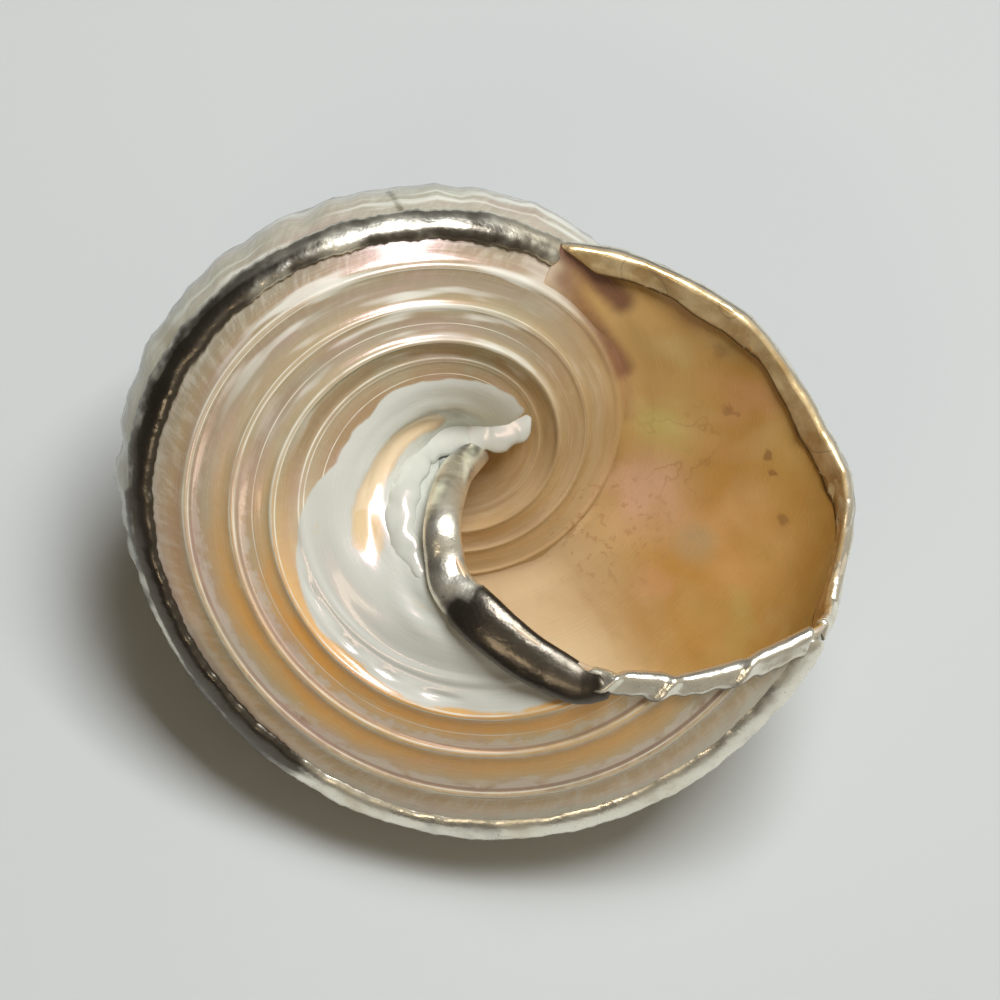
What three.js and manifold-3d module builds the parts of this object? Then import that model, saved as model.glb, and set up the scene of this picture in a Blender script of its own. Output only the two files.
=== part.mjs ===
// Polished turban shell with a silver rim, lying on its spire with the mouth turned up.
// Millimetres, +Z up. The shell is drawn in its own frame first: apex at the origin, coiling
// axis along +Z towards the base, and the whorls growing anticlockwise as seen from the base.

import * as THREE from 'three';
import { mergeVertices } from 'three/addons/utils/BufferGeometryUtils.js';
import Module from 'manifold-3d';

// Growth: every part of the shell is the same outline, turned and scaled about the apex.
const KEEL_RADIUS = 44;
const KEEL_ANGLE = 335;
const WHORL_GROWTH = 1.82;
const APEX_TO_KEEL = 1.45;
const LOBE_SIZE = 0.019;
const LOBE_ANGLE = 124.5;

// Outline of one whorl, in keel radii: distance from the axis, height above the keel.
const BASE_OUTLINE = [
  [0.03, -0.04], [0.09, -0.02], [0.17, 0.035], [0.27, 0.09], [0.37, 0.12], [0.47, 0.125],
  [0.56, 0.158], [0.69, 0.13], [0.84, 0.085], [1.0, 0.0],
];
const FLANK_OUTLINE = [
  [1.0, 0.0], [1.045, -0.09], [1.068, -0.2], [1.04, -0.33], [0.94, -0.45], [0.8, -0.54],
  [0.66, -0.615], [0.57, -0.652],
];
const SUTURE_BITE = [-0.03, -0.035];
const CORDS = [
  { radius: 0.467, height: 0.008 },
  { radius: 0.559, height: 0.020 },
  { radius: 0.692, height: 0.013 },
  { radius: 0.844, height: 0.013 },
];
const CORD_HALF_WIDTH = 0.02;
const WALL = 0.042;
const LIP_WALL = 0.022;
const LIP_THINNING = 60;
const WALL_START = 0.24;

// The pillar inside the coil: distance from the axis, height above the keel, and the angle
// where it ends at the mouth.
const PILLAR_SIDE = [[0.1, -0.655, 366], [0.075, -0.42, 335], [0.095, -0.22, 300]];
const PILLAR_CORE = [0.012, -0.795, 366];

// Lip: the angle at which each part of the outline stops growing, over the base by distance
// from the axis, and along the flank by share of its length.
const LIP_ON_BASE = [
  [0.01, 318], [0.06, 298], [0.1, 286], [0.15, 284], [0.21, 289], [0.26, 298], [0.34, 305],
  [0.44, 310], [0.51, 315], [0.59, 321], [0.7, 326], [0.78, 331], [0.87, 337], [1, 343],
];
const LIP_ON_FLANK = [
  [0, 343], [0.2, 343], [0.25, 345], [0.3, 350], [0.35, 356], [0.4, 360], [0.5, 365],
  [0.6, 373], [0.7, 385], [0.8, 394], [0.9, 406], [1, 420],
];

// Silver: a foil folded over the lip, and a half-round strip along the keel.
const GAP = 0.3;
const FOIL = 0.45;
const FOLD = 1.8;
const FLARE = 0.35;
const STRIP_REACH = 1.7;
const STRIP_HEIGHT = 1.15;
const STRIP_FROM = 66;
const STRIP_TO = 339;
const STRIP_STEP = 9;

// Silver roll round the pillar's edge, in keel radii: across, along, height and half-width.
const ROLL_PATH = [
  [0.318, -0.401, 1.533, 0.034], [0.262, -0.381, 1.506, 0.038], [0.175, -0.332, 1.48, 0.041],
  [0.08, -0.26, 1.43, 0.041], [0.005, -0.195, 1.361, 0.039], [-0.012, -0.133, 1.312, 0.038],
  [-0.016, -0.06, 1.27, 0.036], [0.006, -0.012, 1.16, 0.033], [0.037, -0.004, 1.03, 0.028],
  [0.088, -0.006, 0.91, 0.02],
];
const ROLL_SIDES = 8;
const ROLL_STEPS = 20;

// Turns: the living chamber is hollow, the early whorls are solid.
const CHAMBER_START = -120;
const CHAMBER_JOIN = 180;
const APEX_START = -1300;
const CHAMBER_STEP = 15;
const LAST_STEPS = 18;
const SPIRE_STEP = 30;
const SOLID_RUN = 300;
const SPIGOT_TURN = 3;
const SPIGOT_INSET = 0.004;

// A core along the axis, which joins the narrow middles of the solid whorls.
const CORE_TOP_ANGLE = 60;
const CORE_RADIUS = 0.03;
const CORE_TIP = [[0, 0.9], [0.45, 0.99], [0.63, 1.44]];
const CORE_SIDES = 10;

// Where the outline is sampled: plain parts of the base, the middle of the base, the flank.
const PLAIN_RADII = [WALL_START, 0.34, 0.43, 0.51, 0.625, 0.77, 0.93];
const MIDDLE_RADII = [0.03, 0.08, 0.15];
const FLANK_SAMPLES = 12;
const SOLID_FLANK_SAMPLES = 7;
const SOLID_BASE_SAMPLES = 4;
const SOLID_BASE_SHARE = 0.8;
const SOLID_INSIDE = [0.3, -0.6];

// How the shell lies: spin about its axis, lean of the axis, heading on the table.
const SPIN = 4.3;
const LEAN = 46.4;
const HEADING = 12.7;
const REST_FLAT = 0.35;
const REST_BLOCK = 4;

const wasm = await Module();
wasm.setup();

const radians = THREE.MathUtils.degToRad;

function growthAt(angle) {
  return KEEL_RADIUS * WHORL_GROWTH ** ((angle - KEEL_ANGLE) / 360);
}

function onShell(radius, height, angle) {
  const scale = growthAt(angle);
  const lobe = 1 + LOBE_SIZE * radius ** 2 * Math.cos(radians(3 * angle - LOBE_ANGLE));
  const reach = scale * radius * lobe;
  return new THREE.Vector3(
    reach * Math.cos(radians(angle)),
    reach * Math.sin(radians(angle)),
    scale * (APEX_TO_KEEL + height),
  );
}

function cordHeight(radius) {
  let height = 0;
  for (const cord of CORDS) {
    const away = (radius - cord.radius) / CORD_HALF_WIDTH;
    height += cord.height * Math.exp(-2 * away ** 2);
  }
  return height;
}

function spline(points) {
  return new THREE.SplineCurve(points.map(([x, y]) => new THREE.Vector2(x, y)));
}

const baseCurve = spline(BASE_OUTLINE);
const flankCurve = spline(FLANK_OUTLINE);

function valueAt(table, x) {
  let i = 1;
  while (i < table.length - 1 && table[i][0] < x) i += 1;
  const [x0, y0] = table[i - 1];
  const [x1, y1] = table[i];
  return y0 + (y1 - y0) * (x - x0) / (x1 - x0);
}

// A point of the outline: where it is, how far a cord lifts it, its outward direction, the
// angle where it stops growing, and its place along the outline.
function basePoint(share) {
  const p = baseCurve.getPoint(share);
  const along = baseCurve.getTangent(share);
  const end = valueAt(LIP_ON_BASE, p.x);
  const cord = cordHeight(p.x);
  return { r: p.x, h: p.y + cord, cord, nr: -along.y, nh: along.x, end, place: p.x };
}

function flankPoint(share) {
  const p = flankCurve.getPointAt(share);
  const along = flankCurve.getTangentAt(share);
  const end = valueAt(LIP_ON_FLANK, share);
  return { r: p.x, h: p.y, cord: 0, nr: -along.y, nh: along.x, end, place: 1 + share };
}

// The wall's inner face: the same point without its cord, to be set in by the wall.
function inner(point) {
  return { ...point, h: point.h - point.cord, inset: true };
}

// Shares of the base curve at which a given radius is reached.
function shareAtRadius(radius) {
  let low = 0;
  let high = 1;
  for (let i = 0; i < 30; i += 1) {
    const middle = (low + high) / 2;
    if (baseCurve.getPoint(middle).x < radius) low = middle;
    else high = middle;
  }
  return (low + high) / 2;
}

function outerBasePoints() {
  const radii = [...MIDDLE_RADII, ...PLAIN_RADII];
  for (const cord of CORDS) {
    radii.push(cord.radius - CORD_HALF_WIDTH, cord.radius, cord.radius + CORD_HALF_WIDTH);
  }
  return radii.sort((a, b) => a - b).map((radius) => basePoint(shareAtRadius(radius)));
}

function innerBasePoints() {
  const radii = [...PLAIN_RADII, ...CORDS.map((cord) => cord.radius)];
  return radii.sort((a, b) => a - b)
    .map((radius) => inner(basePoint(shareAtRadius(radius))));
}

function evenShares(count, from = 0, to = 1) {
  return Array.from({ length: count }, (_, i) => from + (to - from) * i / (count - 1));
}

function sutureEnd() {
  const height = (APEX_TO_KEEL + SUTURE_BITE[1]) / WHORL_GROWTH - APEX_TO_KEEL;
  return { r: (1 + SUTURE_BITE[0]) / WHORL_GROWTH, h: height, end: LIP_ON_FLANK.at(-1)[1] };
}

const outerBase = outerBasePoints();
const innerBase = innerBasePoints();
const flankShares = evenShares(FLANK_SAMPLES);
const outerFlank = flankShares.map((share) => flankPoint(share));
const innerFlank = flankShares.slice(1).map((share) => inner(flankPoint(share)));

const [pillarCore, ...pillarSide] = [PILLAR_CORE, ...PILLAR_SIDE]
  .map(([r, h, end]) => ({ r, h, end }));

// The wall's outline runs anticlockwise: up the flank to the keel, in over the base, down the
// pillar, and back out along the inner face.
const wallOutline = [
  sutureEnd(),
  ...outerFlank.toReversed(),
  ...outerBase.toReversed(),
  pillarCore,
  ...pillarSide,
  ...innerBase,
  ...innerFlank,
];

const solidOutline = [
  sutureEnd(),
  ...evenShares(SOLID_FLANK_SAMPLES).map((share) => flankPoint(share)).toReversed(),
  ...evenShares(SOLID_BASE_SAMPLES, 0, SOLID_BASE_SHARE).map((share) => basePoint(share))
    .toReversed(),
  pillarCore,
  { r: SOLID_INSIDE[0], h: SOLID_INSIDE[1] },
];

// The wall thins towards the lip over the last part of the run.
function wallAt(angle, end) {
  const near = THREE.MathUtils.clamp((angle - end + LIP_THINNING) / LIP_THINNING, 0, 1);
  return WALL + (LIP_WALL - WALL) * near;
}

function setIn(point, depth) {
  if (!point.inset) return [point.r, point.h];
  return [point.r - point.nr * depth, point.h - point.nh * depth];
}

function wallPoint(point, angle) {
  return onShell(...setIn(point, wallAt(angle, point.end)), angle);
}

// Triangles that close an outline. The thin wall is laced across from its outer to its inner
// face, so that no triangle runs far along it, and the pillar is filled by itself.
function capTriangles(outline) {
  const flat = outline.map((point) => new THREE.Vector2(...setIn(point, WALL)));
  const isInner = outline.map((point) => Boolean(point.inset));
  if (!isInner.includes(true)) return THREE.ShapeUtils.triangulateShape(flat, []);
  const laced = outline.map((point, i) => i).filter((i) => outline[i].place >= WALL_START - 1e-3);
  const outer = laced.filter((i) => !isInner[i]);
  const within = laced.filter((i) => isInner[i]).toReversed();
  const triangles = [[0, outer[0], within[0]]];
  let i = 0;
  let j = 0;
  while (i < outer.length - 1 || j < within.length - 1) {
    const nextOuter = outline[outer[i + 1]]?.place ?? -Infinity;
    const nextWithin = outline[within[j + 1]]?.place ?? -Infinity;
    if (nextOuter >= nextWithin) {
      triangles.push([outer[i], outer[i + 1], within[j]]);
      i += 1;
    } else {
      triangles.push([outer[i], within[j + 1], within[j]]);
      j += 1;
    }
  }
  const first = outer.at(-1);
  const pillar = flat.slice(first, within.at(-1) + 1);
  for (const corners of THREE.ShapeUtils.triangulateShape(pillar, [])) {
    triangles.push(corners.map((corner) => corner + first));
  }
  return triangles;
}

// The same outline drawn a little smaller, so that one run starts inside the one before it.
function spigot(outline) {
  const flat = outline.map((point) => new THREE.Vector2(...setIn(point, WALL)));
  return flat.map((corner, i) => {
    const before = flat.at(i - 1);
    const after = flat[(i + 1) % flat.length];
    const along = after.clone().sub(before).normalize();
    return { r: corner.x - along.y * SPIGOT_INSET, h: corner.y + along.x * SPIGOT_INSET };
  });
}

// Sweeps an outline from one angle to another, or up to the lip where no end is given.
function sweep(outline, from, to, steps) {
  const count = outline.length;
  const positions = [];
  for (const point of spigot(outline)) {
    positions.push(...wallPoint(point, from - SPIGOT_TURN).toArray());
  }
  for (let step = 0; step <= steps; step += 1) {
    const start = from + SPIGOT_TURN;
    for (const point of outline) {
      const last = to ?? point.end;
      const angle = start + (last - start) * step / steps;
      positions.push(...wallPoint(point, angle).toArray());
    }
  }
  const triangles = [];
  const rings = steps + 1;
  for (let step = 0; step < rings; step += 1) {
    for (let i = 0; i < count; i += 1) {
      const next = (i + 1) % count;
      const a = step * count + i;
      const b = step * count + next;
      triangles.push(a, a + count, b, a + count, b + count, b);
    }
  }
  const lastRing = rings * count;
  for (const [a, b, c] of capTriangles(outline)) {
    triangles.push(a, b, c, lastRing + a, lastRing + c, lastRing + b);
  }
  const geometry = new THREE.BufferGeometry();
  geometry.setAttribute('position', new THREE.Float32BufferAttribute(positions, 3));
  geometry.setIndex(triangles);
  return geometry;
}

function toSolid(geometry) {
  const bare = geometry.clone();
  bare.deleteAttribute('normal');
  bare.deleteAttribute('uv');
  const merged = mergeVertices(bare, 1e-5);
  return new wasm.Manifold(new wasm.Mesh({
    numProp: 3,
    vertProperties: new Float32Array(merged.attributes.position.array),
    triVerts: new Uint32Array(merged.index.array),
  }));
}

function toGeometry(solid) {
  const mesh = solid.getMesh();
  const geometry = new THREE.BufferGeometry();
  geometry.setAttribute('position', new THREE.BufferAttribute(mesh.vertProperties, 3));
  geometry.setIndex(new THREE.BufferAttribute(mesh.triVerts, 1));
  return geometry;
}

// How the shell is turned from its own frame to the table.
function restingTurn() {
  return new THREE.Matrix4()
    .makeRotationZ(radians(HEADING))
    .multiply(new THREE.Matrix4().makeRotationX(radians(LEAN)))
    .multiply(new THREE.Matrix4().makeRotationZ(radians(SPIN)));
}

// A block under the resting shell, reaching far enough up to polish small flats where it rests.
function belowRest(geometry) {
  const turned = geometry.clone().applyMatrix4(restingTurn());
  turned.computeBoundingBox();
  const size = KEEL_RADIUS * REST_BLOCK;
  const block = new THREE.BoxGeometry(size, size, size);
  block.translate(0, 0, turned.boundingBox.min.z + REST_FLAT - size / 2);
  return block.applyMatrix4(restingTurn().invert());
}

function shellGeometry() {
  let body = toSolid(sweep(wallOutline, CHAMBER_JOIN, null, LAST_STEPS));
  const chamberSteps = Math.round((CHAMBER_JOIN - CHAMBER_START) / CHAMBER_STEP);
  body = body.add(toSolid(sweep(wallOutline, CHAMBER_START, CHAMBER_JOIN, chamberSteps)));
  for (let end = CHAMBER_START; end > APEX_START; end -= SOLID_RUN) {
    const steps = Math.round(SOLID_RUN / SPIRE_STEP);
    body = body.add(toSolid(sweep(solidOutline, end - SOLID_RUN, end, steps)));
  }
  const coreTop = growthAt(CORE_TOP_ANGLE) * APEX_TO_KEEL;
  const tip = CORE_TIP.map(([r, h]) => new THREE.Vector2(r, h)
    .multiplyScalar(growthAt(APEX_START)));
  const core = new THREE.LatheGeometry([
    ...tip,
    new THREE.Vector2(coreTop * CORE_RADIUS, coreTop),
    new THREE.Vector2(0, coreTop),
  ], CORE_SIDES);
  core.rotateX(Math.PI / 2);
  body = body.add(toSolid(core)).subtract(toSolid(columellaRoll(GAP)));
  body = body.subtract(toSolid(belowRest(toGeometry(body))));
  const pieces = body.decompose().sort((a, b) => b.volume() - a.volume());
  return toGeometry(pieces[0]);
}

// The roll follows the mouth's inner edge: in over the base, then down the pillar.
function columellaRoll(extra) {
  const spots = ROLL_PATH.map(([x, y, z]) => new THREE.Vector3(x, y, z));
  const curve = new THREE.CatmullRomCurve3(spots.map((spot) => spot.multiplyScalar(KEEL_RADIUS)));
  const widths = new THREE.CatmullRomCurve3(
    ROLL_PATH.map(([, , , width], i) => new THREE.Vector3(width * KEEL_RADIUS, i, 0)),
  );
  const frames = curve.computeFrenetFrames(ROLL_STEPS, false);
  const length = curve.getLength();
  const outline = evenShares(ROLL_SIDES + 1, 0, 2 * Math.PI).slice(0, ROLL_SIDES)
    .map((turn) => new THREE.Vector2(Math.cos(turn), Math.sin(turn)));
  const overhang = extra / length;
  const rings = evenShares(ROLL_STEPS + 1, -overhang, 1 + overhang).map((share, i) => {
    const within = THREE.MathUtils.clamp(share, 0, 1);
    const centre = curve.getPointAt(within)
      .addScaledVector(frames.tangents[i], (share - within) * length);
    const radius = widths.getPoint(curve.getUtoTmapping(within)).x + extra;
    return outline.map((corner) => centre.clone()
      .addScaledVector(frames.normals[i], radius * corner.x)
      .addScaledVector(frames.binormals[i], radius * corner.y));
  });
  return loft(rings, outline);
}

// Joins rings of equal length into one closed strip with flat ends.
function loft(rings, outline) {
  const count = outline.length;
  const positions = rings.flat().flatMap((point) => point.toArray());
  const triangles = [];
  for (let ring = 0; ring < rings.length - 1; ring += 1) {
    for (let i = 0; i < count; i += 1) {
      const a = ring * count + i;
      const b = ring * count + (i + 1) % count;
      triangles.push(a, b, a + count, a + count, b, b + count);
    }
  }
  const lastRing = (rings.length - 1) * count;
  for (const [a, b, c] of THREE.ShapeUtils.triangulateShape(outline, [])) {
    triangles.push(a, c, b, lastRing + a, lastRing + b, lastRing + c);
  }
  const geometry = new THREE.BufferGeometry();
  geometry.setAttribute('position', new THREE.Float32BufferAttribute(positions, 3));
  geometry.setIndex(triangles);
  return geometry;
}

// Where the lip's edge runs: a point halfway through the wall, the way the shell was growing,
// and the way out of its outer face.
function lipStation(point) {
  const outer = wallPoint(point, point.end);
  const inside = wallPoint(inner(point), point.end);
  const run = point.end - CHAMBER_JOIN - SPIGOT_TURN;
  const before = wallPoint(point, point.end - run / LAST_STEPS);
  const across = outer.clone().sub(inside);
  const half = across.length() / 2;
  across.normalize();
  const forward = outer.clone().sub(before).normalize();
  forward.addScaledVector(across, -forward.dot(across)).normalize();
  return { centre: outer.clone().add(inside).multiplyScalar(0.5), forward, across, half };
}

// A channel of thin silver folded over the edge: forward is out of the mouth, across is out of
// the shell's outer face.
function channelRing(station) {
  const face = station.half + GAP;
  const skin = face + FOIL;
  const outline = [
    [-FOLD, skin + FLARE], [-FOLD, face + FLARE], [GAP, face],
    [GAP, -face], [-FOLD, -face - FLARE], [-FOLD, -skin - FLARE],
    [GAP + FOIL * 0.3, -skin], [GAP + FOIL * 1.4, -face * 0.6],
    [GAP + FOIL * 1.4, face * 0.6], [GAP + FOIL * 0.3, skin],
  ];
  const points = outline.map(([x, y]) => station.centre.clone()
    .addScaledVector(station.forward, x).addScaledVector(station.across, y));
  return { points, outline: outline.map(([x, y]) => new THREE.Vector2(x, y)) };
}

function channel(points) {
  const rings = points.map((point) => channelRing(lipStation(point)));
  return loft(rings.map((ring) => ring.points), rings[0].outline);
}

// The half-round strip that sits astride the keel.
function keelStrip() {
  const overBase = baseCurve.getTangent(1).negate();
  const downFlank = flankCurve.getTangent(0);
  const offBase = new THREE.Vector2(-overBase.y, overBase.x).negate();
  const offFlank = new THREE.Vector2(-downFlank.y, downFlank.x);
  const crown = offBase.clone().add(offFlank);
  const seat = crown.clone().multiplyScalar(GAP / (1 + offBase.dot(offFlank)));
  const arm = (along, off, reach, height) => seat.clone()
    .addScaledVector(along, reach).addScaledVector(off, height);
  const outline = [
    seat,
    arm(downFlank, offFlank, STRIP_REACH, 0),
    arm(downFlank, offFlank, STRIP_REACH, STRIP_HEIGHT * 0.35),
    arm(downFlank, offFlank, STRIP_REACH * 0.55, STRIP_HEIGHT * 0.8),
    arm(crown.clone().normalize(), offFlank, STRIP_HEIGHT, 0),
    arm(overBase, offBase, STRIP_REACH * 0.55, STRIP_HEIGHT * 0.8),
    arm(overBase, offBase, STRIP_REACH, STRIP_HEIGHT * 0.35),
    arm(overBase, offBase, STRIP_REACH, 0),
  ];
  const count = Math.round((STRIP_TO - STRIP_FROM) / STRIP_STEP) + 1;
  const rings = evenShares(count, STRIP_FROM, STRIP_TO).map((angle) => {
    const keel = onShell(1, 0, angle);
    const radial = new THREE.Vector3(Math.cos(radians(angle)), Math.sin(radians(angle)), 0);
    return outline.map((corner) => keel.clone()
      .addScaledVector(radial, corner.x).add(new THREE.Vector3(0, 0, corner.y)));
  });
  return loft(rings.toReversed(), outline);
}

const nacre = new THREE.MeshStandardMaterial({ color: 0xe3d3bf, roughness: 0.2, metalness: 0 });
const silver = new THREE.MeshStandardMaterial({ color: 0xc9c4b8, roughness: 0.22, metalness: 1 });

const shell = new THREE.Mesh(shellGeometry(), nacre);
shell.name = 'shell';

const flankEdge = outerFlank.slice(2, -1);
const baseEdge = outerBase.filter((point) => point.r > 0.55 && point.r < 0.94);

const outerLip = new THREE.Mesh(channel(flankEdge), silver);
outerLip.name = 'outer_lip_band';

const basalLip = new THREE.Mesh(channel(baseEdge), silver);
basalLip.name = 'basal_lip_band';

const columella = new THREE.Mesh(columellaRoll(0), silver);
columella.name = 'columella_band';

const keel = new THREE.Mesh(keelStrip(), silver);
keel.name = 'keel_band';

const spun = new THREE.Group();
spun.rotation.z = radians(SPIN);
spun.add(shell, keel, outerLip, basalLip, columella);

const leaning = new THREE.Group();
leaning.rotation.x = radians(LEAN);
leaning.add(spun);

const part = new THREE.Group();
part.rotation.z = radians(HEADING);
part.add(leaning);

// The origin is under the middle of the shell, on the table.
const box = new THREE.Box3().setFromObject(part, true);
part.position.set(-(box.min.x + box.max.x) / 2, -(box.min.y + box.max.y) / 2, -box.min.z);

export default part;
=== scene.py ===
import math

import bmesh
import bpy
import numpy as np
from mathutils import Matrix, Vector


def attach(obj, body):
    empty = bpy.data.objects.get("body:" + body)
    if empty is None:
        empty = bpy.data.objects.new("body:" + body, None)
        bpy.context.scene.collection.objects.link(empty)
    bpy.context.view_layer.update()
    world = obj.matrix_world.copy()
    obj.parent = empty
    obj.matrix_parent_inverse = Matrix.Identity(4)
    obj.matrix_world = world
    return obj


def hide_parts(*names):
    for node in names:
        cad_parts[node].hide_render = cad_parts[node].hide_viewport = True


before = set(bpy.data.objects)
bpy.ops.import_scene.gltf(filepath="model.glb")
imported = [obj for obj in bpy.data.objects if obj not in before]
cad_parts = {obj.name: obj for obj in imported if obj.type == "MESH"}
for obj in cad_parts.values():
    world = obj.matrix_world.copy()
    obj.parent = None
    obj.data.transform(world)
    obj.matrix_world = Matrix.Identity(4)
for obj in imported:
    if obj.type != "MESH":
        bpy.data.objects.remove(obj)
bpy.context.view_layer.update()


# ---------------------------------------------------------------------------------------------
# The shell. A turban snail's shell of nacre, its dull outer layer ground away and the pearl
# polished. The animal made it by adding to the rim of the mouth, so the whole wall is one
# outline that turns about the axis and grows from the apex by the same share each turn.

KEEL_RADIUS = 0.044
KEEL_ANGLE = 335.0
WHORL_GROWTH = 1.82
APEX_TO_KEEL = 1.45
LOBE_SIZE = 0.019
LOBE_ANGLE = 124.5
SPIN = 4.3
LEAN = 46.4
HEADING = 12.7
APEX = Vector((-0.0133523, 0.0342331, -0.0003313))

BASE_OUTLINE = [
    (0.0, -0.05), (0.09, -0.02), (0.17, 0.035), (0.27, 0.09), (0.37, 0.12), (0.47, 0.125),
    (0.56, 0.158), (0.69, 0.13), (0.84, 0.085), (1.0, 0.0),
]
FLANK_OUTLINE = [
    (1.0, 0.0), (1.045, -0.09), (1.068, -0.2), (1.04, -0.33), (0.94, -0.45), (0.8, -0.54),
    (0.66, -0.615), (0.57, -0.652),
]
PILLAR_WITHIN = [
    (0.255, 0.03), (0.165, -0.07), (0.105, -0.2), (0.078, -0.4), (0.1, -0.64), (0.06, -0.73),
    (0.012, -0.795),
]
CORDS = [(0.467, 0.008), (0.559, 0.020), (0.692, 0.013), (0.844, 0.013)]
CORD_HALF_WIDTH = 0.02
WALL = 0.042
LIP_WALL = 0.022
LIP_THINNING = 60.0
SUTURE = [(0.533, -0.6725), (0.551, -0.663)]
SUTURE_WITHIN = [(0.425, -0.597), (0.495, -0.617)]

# Where each part of the outline stops growing: over the base by distance from the axis, along
# the flank by share of its length, and down the pillar by depth.
LIP_ON_BASE = [
    (0.01, 190), (0.05, 240), (0.1, 279), (0.15, 284), (0.21, 289), (0.26, 298), (0.34, 305),
    (0.44, 310), (0.51, 315), (0.59, 321), (0.7, 326), (0.78, 331), (0.87, 337), (1, 343),
]
LIP_ON_FLANK = [
    (0, 343), (0.2, 343), (0.25, 345), (0.3, 350), (0.35, 356), (0.4, 360), (0.5, 365),
    (0.6, 373), (0.7, 385), (0.8, 394), (0.9, 406), (1, 420),
]
LIP_ON_PILLAR = [(-0.795, 366), (-0.64, 364), (-0.4, 330), (-0.2, 292), (-0.07, 284)]


def smooth_line(points, count):
    """Samples of a Catmull-Rom line through the points, and the line's direction at each.

    A count gives even samples; a list gives samples at those shares of the line's length.
    """
    points = np.array(points, float)
    ends = [2 * points[0] - points[1], *points, 2 * points[-1] - points[-2]]
    dense = []
    for p0, p1, p2, p3 in zip(ends, ends[1:], ends[2:], ends[3:]):
        for t in np.linspace(0, 1, 40, endpoint=False):
            dense.append(0.5 * (
                2 * p1 + (p2 - p0) * t + (2 * p0 - 5 * p1 + 4 * p2 - p3) * t ** 2
                + (3 * p1 - p0 - 3 * p2 + p3) * t ** 3
            ))
    dense = np.array([*dense, points[-1]])
    run = np.concatenate([[0], np.cumsum(np.linalg.norm(np.diff(dense, axis=0), axis=1))])
    shares = np.linspace(0, 1, count) if np.isscalar(count) else np.asarray(count)
    at = shares * run[-1]
    line = np.stack([np.interp(at, run, dense[:, k]) for k in range(dense.shape[1])], 1)
    step = run[-1] * 0.004
    ahead = np.stack([np.interp(at + step, run, dense[:, k]) for k in range(dense.shape[1])], 1)
    behind = np.stack([np.interp(at - step, run, dense[:, k]) for k in range(dense.shape[1])], 1)
    along = ahead - behind
    return line, along / np.linalg.norm(along, axis=1)[:, None]


def outward(along):
    """The ways off an outline, square to the ways along it."""
    return np.stack([-along[:, 1], along[:, 0]], 1)


def cord_height(radius):
    """How far the low cords of the base stand out at a distance from the axis."""
    away = [(height, (radius - place) / CORD_HALF_WIDTH) for place, height in CORDS]
    return sum(height * np.exp(-2 * gap ** 2) for height, gap in away)


def base_height(radius):
    """Height and outward direction of the plain base, without its cords."""
    line, along = smooth_line(BASE_OUTLINE, 400)
    height = np.interp(radius, line[:, 0], line[:, 1])
    out = outward(along)
    facing = np.stack([np.interp(radius, line[:, 0], out[:, k]) for k in range(2)], -1)
    return height, facing


def table(rows, at):
    """Reads a table of pairs between its rows."""
    return np.interp(at, [row[0] for row in rows], [row[1] for row in rows])


def whorl_outline():
    """The ring of points round one whorl's wall: out along its outer face, back along the inner.

    Point k of the outer face and point k of the inner face are partners across the wall.
    """
    flank_shares = np.linspace(1, 0, 33)[:-1]
    flank, along = smooth_line(FLANK_OUTLINE, flank_shares)
    flank_out = outward(along)
    radii = [0.955, 0.98, 1.0]
    for place, _ in CORDS:
        radii += [place + CORD_HALF_WIDTH * k for k in (-1.3, -0.8, -0.45, 0, 0.45, 0.8, 1.3)]
    radii += [0.24, 0.265, 0.29, 0.315, 0.34, 0.365, 0.39, 0.415]
    radii += [0.502, 0.508, 0.514, 0.52, 0.526, 0.6, 0.62, 0.64]
    radii += [0.735, 0.755, 0.775, 0.795, 0.89, 0.91, 0.933]
    base_radii = np.sort(np.array(radii))[::-1]
    base_h, base_out = base_height(base_radii)
    pit_radii = np.array([0.215, 0.19, 0.165, 0.14, 0.115, 0.09, 0.05, 0.01])
    pit_h, _ = base_height(pit_radii)
    foot = [(0.006, -0.35), (0.005, -0.6), (0.004, -0.795)]

    outer = [*SUTURE, *flank, *zip(base_radii, base_h + cord_height(base_radii))]
    outer += [*zip(pit_radii, pit_h), *foot]
    places = [2.04, 2.02, *(1 + flank_shares), *base_radii, *pit_radii, 0.006, 0.005, 0.004]
    pillar, _ = smooth_line(PILLAR_WITHIN, len(pit_radii) + len(foot) + 1)
    inner = [*SUTURE_WITHIN, *flank, *zip(base_radii, base_h), *pillar[1:]]
    inset = [(0, 0), (0, 0), *flank_out, *base_out, *[(0, 0)] * (len(pillar) - 1)]
    ends = [
        *table(LIP_ON_FLANK, [1, 1]), *table(LIP_ON_FLANK, flank_shares),
        *table(LIP_ON_BASE, base_radii), *table(LIP_ON_BASE, pit_radii),
        *table(LIP_ON_PILLAR, [point[1] for point in foot]),
    ]
    for k in range(len(inner) - len(foot), len(inner)):
        ends[k] = max(ends[k], float(table(LIP_ON_PILLAR, inner[k][1])))
    zero = [(0, 0)] * len(outer)
    return {
        "co": np.array(outer + inner[::-1]),
        "inset": np.array(zero + inset[::-1]),
        "end": np.array(ends + ends[::-1], float),
        "place": np.array(places + places[::-1], float),
        "inside": np.array([0.0] * len(outer) + [1.0] * len(inner)),
    }


def put_attribute(mesh, name, kind, values):
    field = "vector" if kind == "FLOAT_VECTOR" else "value"
    layer = mesh.attributes.new(name, kind, "POINT")
    layer.data.foreach_set(field, np.asarray(values, np.float32).ravel())


def get_attribute(mesh, name):
    values = np.empty(len(mesh.vertices), np.float32)
    mesh.attributes[name].data.foreach_get("value", values)
    return values.astype(float)


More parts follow.
